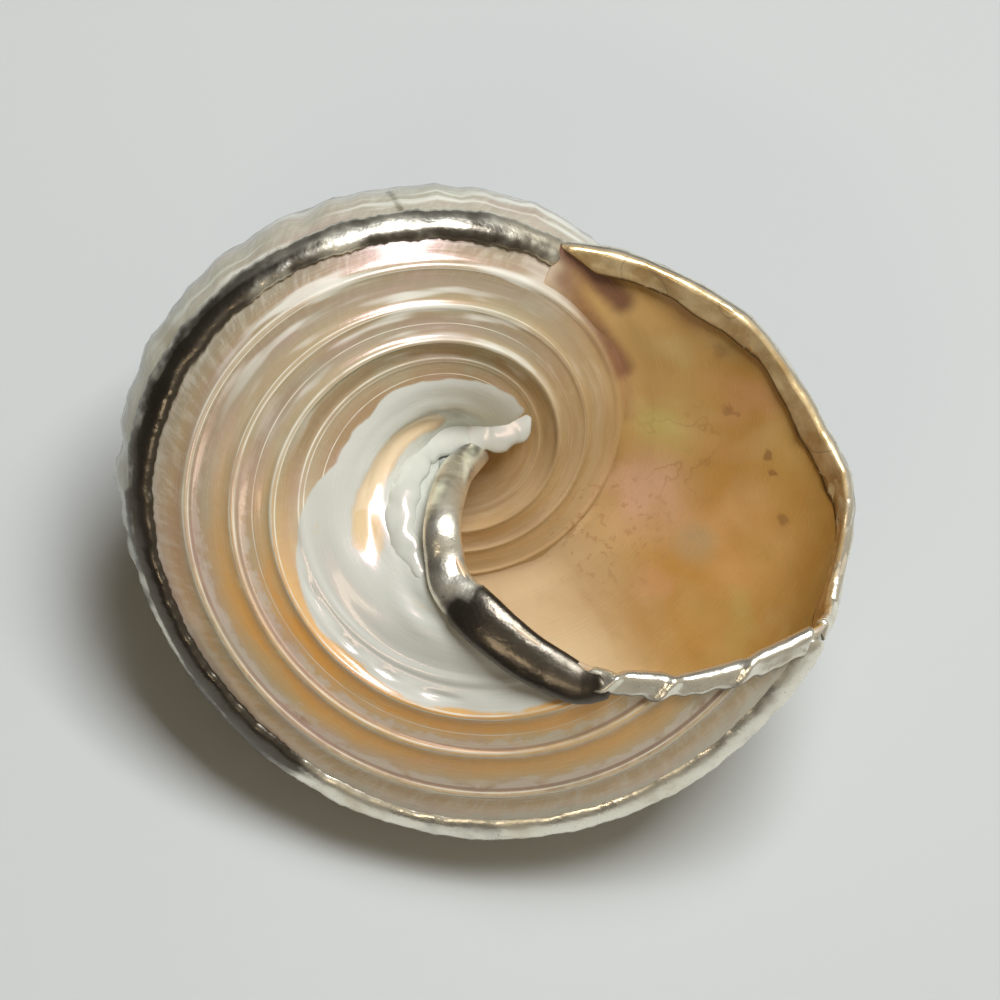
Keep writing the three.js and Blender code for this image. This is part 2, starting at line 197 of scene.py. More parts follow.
def outline_mesh(name, points, scalars, vectors):
    """A row of loose points that carries named values, for a tree to sweep."""
    mesh = bpy.data.meshes.new(name)
    co = np.zeros((len(points), 3))
    co[:, :points.shape[1]] = points
    mesh.from_pydata(co.tolist(), [], [])
    for key, values in scalars.items():
        put_attribute(mesh, key, "FLOAT", values)
    for key, values in vectors.items():
        full = np.zeros((len(points), 3))
        full[:, :values.shape[1]] = values
        put_attribute(mesh, key, "FLOAT_VECTOR", full)
    return mesh


class Nodes:
    """Short calls for the nodes that shapes, materials and the room are made of."""

    def __init__(self, tree):
        self.tree = tree

    def node(self, kind, values=None, **settings):
        made = self.tree.nodes.new(kind)
        for key, value in settings.items():
            setattr(made, key, value)
        for key, value in (values or {}).items():
            self.feed(made.inputs[key], value)
        return made

    def feed(self, socket, value):
        if isinstance(value, bpy.types.NodeSocket):
            self.tree.links.new(value, socket)
        elif socket.type == "RGBA" and not np.isscalar(value):
            socket.default_value = (*value[:3], 1)
        else:
            socket.default_value = value

    def sum(self, operation, *values):
        made = self.node("ShaderNodeMath", operation=operation)
        for socket, value in zip(made.inputs, values):
            self.feed(socket, value)
        return made.outputs[0]

    def plus(self, first, second):
        return self.sum("ADD", first, second)

    def minus(self, first, second):
        return self.sum("SUBTRACT", first, second)

    def times(self, first, *others):
        for other in others:
            first = self.sum("MULTIPLY", first, other)
        return first

    def between(self, value, low, high, to_low=0.0, to_high=1.0):
        made = self.node("ShaderNodeMapRange", {
            "Value": value, "From Min": low, "From Max": high,
            "To Min": to_low, "To Max": to_high,
        }, interpolation_type="SMOOTHSTEP")
        return made.outputs[0]

    def mix(self, share, first, second, blend="MIX"):
        made = self.node(
            "ShaderNodeMix", {0: share, 6: first, 7: second}, data_type="RGBA", blend_type=blend)
        return made.outputs[2]


class Tree(Nodes):
    """A geometry-node tree with named inputs, and short calls for sweeping an outline."""

    def __init__(self, name, inputs):
        super().__init__(bpy.data.node_groups.new(name, "GeometryNodeTree"))
        face = self.tree.interface
        face.new_socket("Geometry", in_out="INPUT", socket_type="NodeSocketGeometry")
        for label, kind in inputs:
            face.new_socket(label, in_out="INPUT", socket_type=f"NodeSocket{kind}")
        face.new_socket("Geometry", in_out="OUTPUT", socket_type="NodeSocketGeometry")
        self.given = self.tree.nodes.new("NodeGroupInput").outputs

    def points_in(self, geometry):
        found = self.node("GeometryNodeAttributeDomainSize", {"Geometry": geometry})
        return found.outputs["Point Count"]

    def rolled_sheet(self, rows, around):
        """A grid to lay along the rows; its last column meets its first again."""
        columns = self.plus(around, 1)
        grid = self.node("GeometryNodeMeshGrid", {"Vertices X": rows, "Vertices Y": columns})
        index = self.node("GeometryNodeInputIndex").outputs[0]
        row = self.sum("FLOOR", self.sum("DIVIDE", self.plus(index, 0.5), columns))
        column = self.sum("MODULO", self.minus(index, self.times(row, columns)), around)
        return grid.outputs["Mesh"], row, column

    def vector_sum(self, operation, *values):
        made = self.node("ShaderNodeVectorMath", operation=operation)
        for socket, value in zip(made.inputs, values):
            self.feed(socket, value)
        return made.outputs[0]

    def scaled(self, vector, factor):
        made = self.node("ShaderNodeVectorMath", {0: vector, "Scale": factor}, operation="SCALE")
        return made.outputs[0]

    def named(self, name, kind="FLOAT"):
        return self.node("GeometryNodeInputNamedAttribute", {"Name": name}, data_type=kind).outputs[0]

    def sample(self, geometry, value, index, kind="FLOAT"):
        made = self.node("GeometryNodeSampleIndex", data_type=kind, domain="POINT")
        self.feed(made.inputs["Geometry"], geometry)
        self.feed(made.inputs["Value"], value)
        self.feed(made.inputs["Index"], index)
        return made.outputs[0]

    def store(self, geometry, name, value):
        made = self.node(
            "GeometryNodeStoreNamedAttribute",
            {"Geometry": geometry, "Name": name, "Value": value}, data_type="FLOAT", domain="POINT",
        )
        return made.outputs[0]

    def finish(self, geometry, material):
        real = self.node("GeometryNodeRealizeInstances", {"Geometry": geometry}).outputs[0]
        dressed = self.node("GeometryNodeSetMaterial", {"Geometry": real, "Material": material})
        end = self.tree.nodes.new("NodeGroupOutput")
        self.tree.links.new(dressed.outputs[0], end.inputs[0])

    def grow(self, name, mesh, values):
        """Runs the tree on a mesh and hands back the plain result as an object of its own."""
        seed = bpy.data.objects.new(name + "_outline", mesh)
        bpy.context.scene.collection.objects.link(seed)
        modifier = seed.modifiers.new(name, "NODES")
        modifier.node_group = self.tree
        for item in self.tree.interface.items_tree:
            if item.item_type == "SOCKET" and item.in_out == "INPUT" and item.name in values:
                modifier[item.identifier] = values[item.name]
        graph = bpy.context.evaluated_depsgraph_get()
        made = bpy.data.meshes.new_from_object(seed.evaluated_get(graph))
        seed.modifiers.remove(modifier)
        bpy.data.objects.remove(seed)
        made.name = name
        piece = bpy.data.objects.new(name, made)
        bpy.context.scene.collection.objects.link(piece)
        return piece


RIM_ROWS = 4  # rows that round the edge of the mouth, past the last full row of the wall


def whorl_tree():
    """Sweeps the outline of a whorl round the axis, growing it, and rounds the lip."""
    tree = Tree("helicospiral wall", [
        ("Rows", "Int"), ("First angle", "Float"), ("Share of even steps", "Float"),
        ("Keel radius", "Float"), ("Keel angle", "Float"), ("Whorl growth", "Float"),
        ("Apex to keel", "Float"), ("Lobe size", "Float"), ("Lobe angle", "Float"),
        ("Wall", "Float"), ("Lip wall", "Float"), ("Lip thinning", "Float"),
        ("Lip rounding", "Float"), ("Spin", "Rotation"), ("Lie", "Rotation"), ("Apex", "Vector"),
        ("Material", "Material"),
    ])
    given = tree.given
    ring = given["Geometry"]
    count = tree.points_in(ring)
    grid, row, column = tree.rolled_sheet(given["Rows"], count)
    partner = tree.minus(tree.minus(count, 1), column)

    position = tree.node("GeometryNodeInputPosition").outputs[0]
    inset = tree.named("inset", "FLOAT_VECTOR")
    end = tree.sample(ring, tree.named("end"), column)
    place = tree.sample(ring, tree.named("place"), column)
    inside = tree.sample(ring, tree.named("inside"), column)

    last_full = tree.minus(given["Rows"], 1 + RIM_ROWS)
    share = tree.sum("MINIMUM", tree.sum("DIVIDE", row, last_full), 1)
    left = tree.minus(1, share)
    cubed = tree.sum("POWER", left, 3)
    even = tree.times(given["Share of even steps"], left)
    eased = tree.times(tree.minus(1, given["Share of even steps"]), cubed)
    run = tree.times(tree.minus(end, given["First angle"]),
                   tree.plus(even, eased))
    past = tree.sum("MAXIMUM", tree.minus(row, last_full), 0)
    rim = tree.times(past, math.pi / 2 / RIM_ROWS)
    advance = tree.times(tree.sum("SINE", rim), given["Lip rounding"])
    angle = tree.plus(tree.minus(end, run), advance)

    near = tree.minus(1, tree.sum("DIVIDE", run, given["Lip thinning"]))
    near = tree.sum("MAXIMUM", near, 0)
    thinner = tree.times(tree.minus(given["Wall"], given["Lip wall"]), near)
    wall = tree.minus(given["Wall"], thinner)

    def wall_point(at):
        flat = tree.sample(ring, position, at, "FLOAT_VECTOR")
        depth = tree.scaled(tree.sample(ring, inset, at, "FLOAT_VECTOR"), wall)
        return tree.vector_sum("SUBTRACT", flat, depth)

    own = wall_point(column)
    across = tree.vector_sum("SUBTRACT", wall_point(partner), own)
    closing = tree.times(tree.minus(1, tree.sum("COSINE", rim)), 0.5)
    outline = tree.vector_sum("ADD", own, tree.scaled(across, closing))
    split = tree.node("ShaderNodeSeparateXYZ", {0: outline}).outputs
    opened = tree.sum("GREATER_THAN", row, 0.5)
    radius = tree.times(split[0], opened)
    height = tree.times(split[1], opened)

    turns = tree.sum("DIVIDE", tree.minus(angle, given["Keel angle"]), 360)
    scale = tree.times(given["Keel radius"],
                     tree.sum("POWER", given["Whorl growth"], turns))
    phase = tree.minus(tree.times(angle, 3), given["Lobe angle"])
    wave = tree.times(given["Lobe size"], tree.sum("COSINE", tree.sum("RADIANS", phase)))
    lobe = tree.plus(1, tree.times(wave, tree.sum("POWER", radius, 2)))
    reach = tree.times(tree.times(scale, radius), lobe)
    turned = tree.sum("RADIANS", angle)
    swept = tree.node("ShaderNodeCombineXYZ", {
        0: tree.times(reach, tree.sum("COSINE", turned)),
        1: tree.times(reach, tree.sum("SINE", turned)),
        2: tree.times(scale, tree.plus(given["Apex to keel"], height)),
    }).outputs[0]

    wall_mesh = tree.store(grid, "turn", tree.sum("DIVIDE", angle, 360))
    wall_mesh = tree.store(wall_mesh, "place", place)
    wall_mesh = tree.store(wall_mesh, "inside", inside)
    wall_mesh = tree.store(wall_mesh, "from_lip", run)
    wall_mesh = tree.node(
        "GeometryNodeSetPosition", {"Geometry": wall_mesh, "Position": swept},
    ).outputs[0]
    wall_mesh = tree.node(
        "GeometryNodeTransform", {"Geometry": wall_mesh, "Rotation": given["Spin"]},
    ).outputs[0]
    wall_mesh = tree.node("GeometryNodeTransform", {
        "Geometry": wall_mesh, "Rotation": given["Lie"], "Translation": given["Apex"],
    }).outputs[0]
    closed = tree.node("GeometryNodeMergeByDistance", {"Geometry": wall_mesh, "Distance": 1e-7})
    tree.finish(closed.outputs[0], given["Material"])
    return tree


def soft_step(value, low, high):
    """Rises from 0 at the low value to 1 at the high one, level at both ends."""
    share = np.clip((value - low) / (high - low), 0, 1)
    return share * share * (3 - 2 * share)


def bump_at(value, middle, half_width):
    """A rounded hump of height 1 about a middle value."""
    return np.exp(-2 * ((value - middle) / half_width) ** 2)


# How far from the axis the callus reaches, by angle; and dimples by its edge, each with its
# angle, distance from the axis, length and depth.
CALLUS_EDGE = [
    (10, 0.20), (19, 0.30), (28, 0.44), (40, 0.425), (62, 0.394), (80, 0.385), (101, 0.382),
    (115, 0.39), (135, 0.368), (163, 0.374), (176, 0.44), (187, 0.47), (201, 0.505), (213, 0.53),
    (225, 0.54), (242, 0.533), (257, 0.55), (291, 0.545), (330, 0.535),
]
DIMPLES = [
    (213, 0.503, 8.0, 0.010), (234, 0.509, 7.0, 0.009), (250, 0.513, 5.0, 0.008),
    (268, 0.519, 8.0, 0.011),
]


def ripple(*terms):
    """A smooth wandering value from -1 to 1, the same every time."""
    total = 0
    for k, term in enumerate(terms):
        total = total + np.sin(term + 1.3 * k + 0.8 * np.sin(term * 0.37 + 2.1 * k))
    return total / len(terms)


def growth(angle):
    """The distance from the axis to the keel where the shell has turned to an angle."""
    return KEEL_RADIUS * WHORL_GROWTH ** ((np.asarray(angle, float) - KEEL_ANGLE) / 360)


def work_surface(piece):
    """Raises the callus and its folds, knocks the keel about, and marks each place's finish."""
    mesh = piece.data
    count = len(mesh.vertices)
    co = np.empty(count * 3)
    mesh.vertices.foreach_get("co", co)
    co = co.reshape(-1, 3)
    out = np.empty(count * 3, np.float32)
    mesh.vertex_normals.foreach_get("vector", out)
    out = out.reshape(-1, 3)
    angle = get_attribute(mesh, "turn") * 360
    place = get_attribute(mesh, "place")
    outer = 1 - get_attribute(mesh, "inside")
    base = outer * (place < 0.999)
    last = soft_step(angle, 8, 22)

    wander = 0.006 * ripple(angle * 0.13, angle * 0.31) + 0.0008 * ripple(angle * 0.7)
    edge = table(CALLUS_EDGE, angle) + wander
    callus = base * last * soft_step(edge - place, -0.012, 0.02)
    lift = 0.007 * callus

    arc = soft_step(angle, 30, 70) * (1 - soft_step(angle, 165, 195))
    lift += 0.012 * arc * base * bump_at(place, 0.262 + 0.004 * ripple(angle * 0.2), 0.03)
    groove_place = np.interp(angle, [60, 91, 163, 190, 215], [0.17, 0.175, 0.212, 0.25, 0.26])
    groove = soft_step(angle, 60, 100) * (1 - soft_step(angle, 205, 235))
    lift -= 0.016 * groove * base * bump_at(place, groove_place, 0.035)
    fold_place = np.interp(angle, [100, 150, 200, 250, 280], [0.33, 0.325, 0.36, 0.37, 0.36])
    fold = soft_step(angle, 95, 130) * (1 - soft_step(angle, 200, 240))
    lift += 0.006 * fold * base * bump_at(place, fold_place, 0.03)
    trough = bump_at(angle, 254, 16)
    lift -= 0.014 * trough * base * bump_at(place, 0.285 + (angle - 254) * 0.0012, 0.028)
    lift += 0.008 * trough * base * bump_at(place, 0.335 + (angle - 254) * 0.0012, 0.025)
    for turn, radius, length, depth in DIMPLES:
        lift -= depth * base * bump_at(angle, turn, length) * bump_at(place, radius, 0.012)

    share = place - 1
    flank = outer * (share > 0)
    knob = ripple(angle * 0.42, angle * 0.55 + 1.0, angle * 0.83)
    lift += flank * 0.015 * knob * bump_at(share, 0.22, 0.22)
    lift += flank * 0.004 * ripple(angle * 1.7, angle * 1.1) * bump_at(share, 0.2, 0.25)
    lift += flank * 0.006 * ripple(angle * 0.3, share * 9) * (share > 0.45)
    swell = ripple(angle * 0.11, place * 7 + angle * 0.05)
    lift += 0.003 * swell * base * soft_step(place, 0.5, 0.6) * soft_step(0.97 - place, 0, 0.05)
    behind = soft_step(get_attribute(mesh, "from_lip"), 5, 30)
    within = (1 - outer) * behind
    lift += 0.006 * within * ripple(angle * 0.16, place * 8) * soft_step(place, 0.4, 0.7)
    lift += 0.022 * within * soft_step(place, 1.72, 2.0) * (place < 2.01)

    co += out * (lift * growth(angle))[:, None]
    co[:, 2] = np.maximum(co[:, 2], 0)
    mesh.vertices.foreach_set("co", co.ravel())

    stain = base * bump_at(angle, 201, 22) * bump_at(place, 0.27, 0.085)
    stain = np.maximum(stain, 0.6 * base * bump_at(angle, 192, 10) * bump_at(place, 0.42, 0.05))
    bare = base * groove * bump_at(place, groove_place + 0.004, 0.072)
    bare = np.maximum(bare, 0.46 * base * trough * bump_at(place, 0.285, 0.03))
    warm = 0.5 + 0.5 * np.cos(np.radians(angle - 262))
    put_attribute(mesh, "callus_edge", "FLOAT", np.where(last * (place < 1) > 0, edge, 0))
    put_attribute(mesh, "bare", "FLOAT", bare)
    put_attribute(mesh, "stain", "FLOAT", stain)
    put_attribute(mesh, "warm", "FLOAT", warm)


class Finish(Nodes):
    """A material, with short calls for the patterns it is mixed from."""

    def __init__(self, name):
        self.material = bpy.data.materials.new(name)
        self.material.use_nodes = True
        super().__init__(self.material.node_tree)
        self.shader = self.tree.nodes["Principled BSDF"]

    def set(self, **sockets):
        for name, value in sockets.items():
            self.feed(self.shader.inputs[name.replace("_", " ")], value)

    def attribute(self, name):
        return self.node("ShaderNodeAttribute", attribute_name=name).outputs["Fac"]

    def ramp(self, value, stops):
        made = self.node("ShaderNodeValToRGB", {0: value})
        bar = made.color_ramp.elements
        for _ in stops[2:]:
            bar.new(0.5)
        for element, (at, colour) in zip(bar, stops):
            element.position = at
            element.color = (*colour, 1)
        return made.outputs[0]

    def noise(self, vector, scale, detail=3.0, roughness=0.5):
        made = self.node("ShaderNodeTexNoise", {
            "Vector": vector, "Scale": scale, "Detail": detail, "Roughness": roughness,
        })
        return made.outputs["Fac"]

    def off_half(self, value):
        return self.minus(value, 0.5)

    def distance(self, spot, centre):
        made = self.node("ShaderNodeVectorMath", {0: spot, 1: centre}, operation="DISTANCE")
        return made.outputs["Value"]

    def dot(self, first, second):
        made = self.node("ShaderNodeVectorMath", {0: first, 1: second}, operation="DOT_PRODUCT")
        return made.outputs["Value"]

    def on_object(self, centre=(0, 0, 0)):
        spot = self.node("ShaderNodeTexCoord").outputs["Object"]
        return self.node("ShaderNodeMapping", {"Vector": spot, "Location": centre}).outputs[0]

    def bump(self, height, strength, distance, under=None):
        made = self.node("ShaderNodeBump", {
            "Height": height, "Strength": strength, "Distance": distance,
        })
        if under is not None:
            self.feed(made.inputs["Normal"], under)
        return made.outputs[0]


# The bands of the base, from the axis (0) past the keel (0.5) to the suture (1): pale and cool
# on one side of the turn, peach on the other.
PALE_BANDS = [
    (0.0, (0.50, 0.36, 0.22)), (0.2, (0.40, 0.29, 0.17)), (0.2335, (0.52, 0.44, 0.31)),
    (0.245, (0.40, 0.30, 0.18)), (0.262, (0.43, 0.33, 0.21)), (0.2795, (0.58, 0.50, 0.36)),
    (0.292, (0.50, 0.42, 0.28)), (0.305, (0.44, 0.38, 0.30)), (0.32, (0.37, 0.30, 0.22)),
    (0.335, (0.44, 0.36, 0.24)), (0.346, (0.57, 0.48, 0.33)), (0.357, (0.50, 0.41, 0.27)),
    (0.37, (0.46, 0.39, 0.27)), (0.385, (0.42, 0.36, 0.28)), (0.4, (0.37, 0.31, 0.23)),
    (0.4125, (0.40, 0.33, 0.23)), (0.422, (0.60, 0.53, 0.40)), (0.4325, (0.42, 0.33, 0.21)),
    (0.445, (0.44, 0.36, 0.25)), (0.46, (0.37, 0.33, 0.25)), (0.475, (0.38, 0.34, 0.28)),
    (0.49, (0.50, 0.47, 0.40)), (0.56, (0.56, 0.54, 0.48)), (0.66, (0.54, 0.50, 0.44)),
    (0.85, (0.50, 0.45, 0.38)), (1.0, (0.42, 0.35, 0.27)),
]
PEACH_BANDS = [
    (0.0, (0.56, 0.37, 0.19)), (0.2335, (0.56, 0.50, 0.40)), (0.262, (0.57, 0.38, 0.20)),
    (0.2795, (0.60, 0.38, 0.18)), (0.292, (0.62, 0.34, 0.12)), (0.305, (0.61, 0.34, 0.12)),
    (0.32, (0.56, 0.41, 0.28)), (0.335, (0.44, 0.33, 0.24)), (0.346, (0.70, 0.53, 0.35)),
    (0.357, (0.53, 0.31, 0.13)), (0.37, (0.59, 0.34, 0.13)), (0.385, (0.54, 0.36, 0.19)),
    (0.4, (0.50, 0.38, 0.29)), (0.4125, (0.33, 0.22, 0.17)), (0.422, (0.64, 0.49, 0.34)),
    (0.4325, (0.45, 0.28, 0.14)), (0.445, (0.47, 0.29, 0.14)), (0.46, (0.58, 0.42, 0.32)),
    (0.475, (0.57, 0.44, 0.40)), (0.49, (0.54, 0.42, 0.37)), (0.56, (0.52, 0.47, 0.40)),
    (0.75, (0.50, 0.44, 0.36)), (1.0, (0.42, 0.34, 0.26)),
]
# Where the ragged outer margins of the lower bands lie, each with a line of painted dark reflection
# just past it;
# and the thin lines of painted highlight, mostly on the cord crests, with their widths.
BAND_MARGINS = [0.672, 0.822, 0.968]
CREST_HIGHLIGHT_LINES = [
    (0.458, 0.0030), (0.474, 0.0040), (0.553, 0.0030), (0.566, 0.0045), (0.686, 0.0040),
    (0.700, 0.0025), (0.834, 0.0028), (0.851, 0.0042), (0.405, 0.0022), (0.625, 0.0020),
]
# Clouds of colour in the chamber: centre, reach, share, tint.
CHAMBER_TINTS = [
    ((0.0180, 0.0225, 0.0400), 0.011, 0.75, (0.62, 0.55, 0.30)),
    ((0.0180, 0.0170, 0.0320), 0.008, 0.80, (0.66, 0.60, 0.22)),
    ((0.0250, 0.0160, 0.0335), 0.007, 0.75, (0.78, 0.40, 0.24)),
    ((0.0185, 0.0095, 0.0220), 0.009, 0.80, (0.86, 0.56, 0.40)),
    ((0.0300, 0.0060, 0.0250), 0.010, 0.60, (0.88, 0.52, 0.24)),
    ((0.0370, 0.0120, 0.0350), 0.009, 0.70, (0.56, 0.31, 0.08)),
    ((0.0252, 0.0054, 0.0205), 0.004, 0.80, (0.52, 0.42, 0.26)),
    ((0.0380, 0.0098, 0.0305), 0.003, 0.85, (0.30, 0.27, 0.16)),
]
# Brown specks in the chamber: centre, reach, share.
SPECK_BROWN = (0.27, 0.13, 0.06)
CHAMBER_SPECKS = [
    ((0.0246, 0.0168, 0.0343), 0.0010, 0.45), ((0.0257, 0.0163, 0.0346), 0.0007, 0.5),
    ((0.0304, 0.0132, 0.0326), 0.0008, 0.6), ((0.0314, 0.0118, 0.0313), 0.0006, 0.6),
    ((0.0340, 0.0077, 0.0283), 0.0009, 0.5),
    ((0.0220, 0.0212, 0.0400), 0.0014, 0.35),
    ((0.0120, 0.0075, 0.0180), 0.0006, 0.6), ((0.0135, 0.0060, 0.0170), 0.0005, 0.6),
]
# Long marks, from one point to another, with reach, share and tint: a pale patch and three
# maroon streaks by the suture, then a crack and a stain on the flank's folds.
STROKES = [
    ((-0.0008, 0.0250, 0.0472), (0.0012, 0.0222, 0.0415), 0.0044, 0.80, (0.64, 0.55, 0.48)),
    ((0.0014, 0.0252, 0.0474), (0.0095, 0.0232, 0.0422), 0.0024, 0.88, (0.17, 0.07, 0.045)),
    ((0.0022, 0.0232, 0.0438), (0.0112, 0.0186, 0.0350), 0.0024, 0.85, (0.20, 0.08, 0.05)),
    ((0.0105, 0.0190, 0.0365), (0.0135, 0.0155, 0.0300), 0.0018, 0.35, (0.40, 0.20, 0.12)),
    ((-0.0194, 0.0272, 0.0466), (-0.0170, 0.0232, 0.0494), 0.0006, 0.75, (0.16, 0.13, 0.08)),
    ((-0.0402, 0.0070, 0.0385), (-0.0384, 0.0050, 0.0410), 0.0019, 0.60, (0.36, 0.29, 0.18)),
]


class Nacre(Finish):
    """Banded mother of pearl outside, amber inside, and porcelain-white callus by the mouth."""

    def __init__(self):
        super().__init__("nacre")
        self.turn = self.attribute("turn")
        self.place = self.attribute("place")
        self.inside = self.between(self.attribute("inside"), 0.3, 0.7)
        self.warm = self.attribute("warm")
        self.spot = self.on_object()
        self.slant = self.plus(self.turn, self.times(self.place, 0.09))
        self.lines = self.along_whorl(170, 11, 5.0, 0.7, slanted=True)
        self.fine = self.along_whorl(22, 160, 3.0, 0.6)
        self.rust = self.along_whorl(9, 22, 3.0, 0.6)
        self.cloud = self.noise(self.spot, 55, 3.0, 0.55)
        self.second_cloud = self.noise(self.on_object(centre=(0.3, 0.1, 0)), 70, 2.0, 0.5)
        self.blots = self.noise(self.spot, 900, 4.0, 0.6)
        self.ragged = self.times(self.off_half(self.blots), 0.0018)

    def along_whorl(self, turns, places, detail, roughness, shift=0.0, slanted=False):
        """Noise drawn out along the whorl: its grain by turns and by place on the outline."""
        way = self.slant if slanted else self.turn
        spot = self.node("ShaderNodeCombineXYZ", {
            0: self.times(way, turns), 1: self.times(self.place, places), 2: shift,
        }).outputs[0]
        return self.noise(spot, 1.0, detail, roughness)

    def near(self, centre, reach):
        return self.between(self.distance(self.spot, centre), reach, reach * 0.25)

    def beside(self, first, last, reach):
        """How near a place is to a straight stroke from one point to another."""
        way = Vector(last) - Vector(first)
        off = self.node("ShaderNodeVectorMath", {0: self.spot, 1: first}, operation="SUBTRACT")
        off = off.outputs[0]
        share = self.dot(off, way / way.length_squared)
        share = self.node("ShaderNodeClamp", {"Value": share}).outputs[0]
        foot = self.node("ShaderNodeVectorMath", {0: way, "Scale": share}, operation="SCALE")
        away = self.plus(self.distance(off, foot.outputs[0]), self.times(self.ragged, 0.3))
        return self.between(away, reach, reach * 0.2)

    def bands(self):
        drift = self.times(self.off_half(self.along_whorl(9, 1, 2.0, 0.5)), 0.02)
        flecks = self.off_half(self.along_whorl(70, 12, 4.0, 0.65, shift=5.0))
        drift = self.plus(drift, self.times(flecks, self.warm, 0.06))
        band = self.times(self.plus(self.place, drift), 0.5)
        lower = self.between(self.warm, 0.3, 0.9)
        colour = self.mix(lower, self.ramp(band, PALE_BANDS), self.ramp(band, PEACH_BANDS))
        colour = self.mix(lower, self.mix(1.0, colour, (0.98, 0.95, 0.93), "MULTIPLY"),
                          self.mix(1.0, colour, (1.30, 1.30, 1.26), "MULTIPLY"))
        fiery = self.times(self.between(self.warm, 0.55, 0.9), self.between(self.place, 0.5, 0.58),
                           self.between(self.place, 0.84, 0.72))
        return self.mix(fiery, colour, (1.06, 0.97, 0.78), "MULTIPLY")

    def growth_lines(self, colour):
        """Fine strokes across the whorl, strongest by the keel, and rubbing marks along it."""
        lined = self.between(self.place, 0.78, 0.93, 0.12, 1.0)
        streak = self.times(self.between(self.lines, 0.45, 0.62), lined, 0.28)
        colour = self.mix(streak, colour, (0.84, 0.82, 0.76))
        broad = self.along_whorl(46, 5, 3.0, 0.6, slanted=True)
        gap = self.times(self.between(broad, 0.5, 0.7), lined, 0.26)
        colour = self.mix(gap, colour, (0.30, 0.24, 0.19))
        return self.mix(self.between(self.fine, 0.5, 0.8, 0.0, 0.12), colour, (0.74, 0.66, 0.52))

    def painted_cord_highlights(self, colour):
        """Painted highlights: thin pale lines along the cord crests, and near-white patches between the
        cords.
        """
        # Painted highlight: thin pale lines, mostly on the cord crests, broken up along the whorl.
        crest_highlight = 0.0
        for at, width in CREST_HIGHLIGHT_LINES:
            off = self.sum("ABSOLUTE", self.minus(self.place, at))
            crest_highlight = self.sum("MAXIMUM", crest_highlight, self.between(off, width, width * 0.4))
        broken = self.between(self.along_whorl(16, 1, 3.0, 0.6), 0.32, 0.55, 0.25, 0.9)
        colour = self.mix(self.times(crest_highlight, broken), colour, (0.93, 0.90, 0.80))
        # Painted highlight: near-white patches from the middle of the base outward, on the side of the
        # turn away from the peach side.
        painted_highlight = self.between(self.along_whorl(10, 17, 2.0, 0.5, shift=8.0), 0.50, 0.66)
        painted_highlight = self.times(painted_highlight, self.between(self.warm, 0.5, 0.12),
                           self.between(self.place, 0.44, 0.56), 0.8)
        return self.mix(painted_highlight, colour, (0.94, 0.95, 0.92))

    def band_edges(self, colour):
        """Ragged wisps of paler nacre along the margin of each lower band, then a mauve line of painted
        dark reflection on the slope up to the next cord or the keel.
        """
        feather = self.off_half(self.along_whorl(62, 20, 4.0, 0.62, shift=4.0, slanted=True))
        feather = self.times(feather, 2.4)
        below = self.between(self.warm, 0.35, 0.75, 0.0, 0.72)
        for margin in BAND_MARGINS:
            wisp = self.plus(self.between(self.place, margin - 0.07, margin - 0.002), feather)
            wisp = self.times(self.between(wisp, 0.55, 0.98), below,
                              self.between(self.place, margin + 0.003, margin - 0.004),
                              self.between(self.place, margin - 0.08, margin - 0.06))
            colour = self.mix(wisp, colour, (0.74, 0.66, 0.60))
            # Painted dark reflection: a mauve-brown line just past each margin, on the lower side of
            # the turn.
            off = self.sum("ABSOLUTE", self.minus(self.place, margin + 0.004))
            edge = self.times(self.between(off, 0.007, 0.002), below)
            colour = self.mix(edge, colour, (0.36, 0.27, 0.23))
        return colour

    def play_of_colour(self, colour):
        # Painted iridescent sheen: soft pink and green patches along the whorl, laid into the colour.
        sheen = self.along_whorl(14, 11, 2.0, 0.5, shift=3.0)
        colour = self.mix(self.between(sheen, 0.52, 0.68, 0.0, 0.22), colour, (0.56, 0.36, 0.36))
        return self.mix(self.between(sheen, 0.48, 0.34, 0.0, 0.22), colour, (0.44, 0.50, 0.40))

    def honey_whorl(self, colour):
        """The older base that the mouth opens on to: honey, with a brown brink and rusty edge."""
        early = self.times(self.between(self.turn, 0.19, 0.05), self.between(self.place, 1.0, 0.98))
        deep = self.between(self.turn, 0.06, -0.12)
        rusted = self.between(self.rust, 0.4, 0.65)
        honey = self.mix(rusted, (0.62, 0.45, 0.25), (0.54, 0.36, 0.17))
        glow = self.mix(rusted, (0.80, 0.60, 0.36), (0.72, 0.50, 0.27))
        colour = self.mix(self.times(early, 0.8), colour, self.mix(deep, honey, glow))
        parietal = self.times(self.between(self.place, 0.72, 0.9), early, 0.8)
        brink = self.mix(deep, (0.60, 0.36, 0.13), (0.80, 0.56, 0.30))
        colour = self.mix(parietal, colour, brink)
        rusty = self.times(self.between(self.place, 0.83, 0.90), self.between(self.turn, 0.19, 0.1),
                           self.between(self.turn, 0.0, 0.1), self.between(self.rust, 0.36, 0.6))
        return self.mix(self.times(rusty, 0.5), colour, (0.30, 0.15, 0.08))

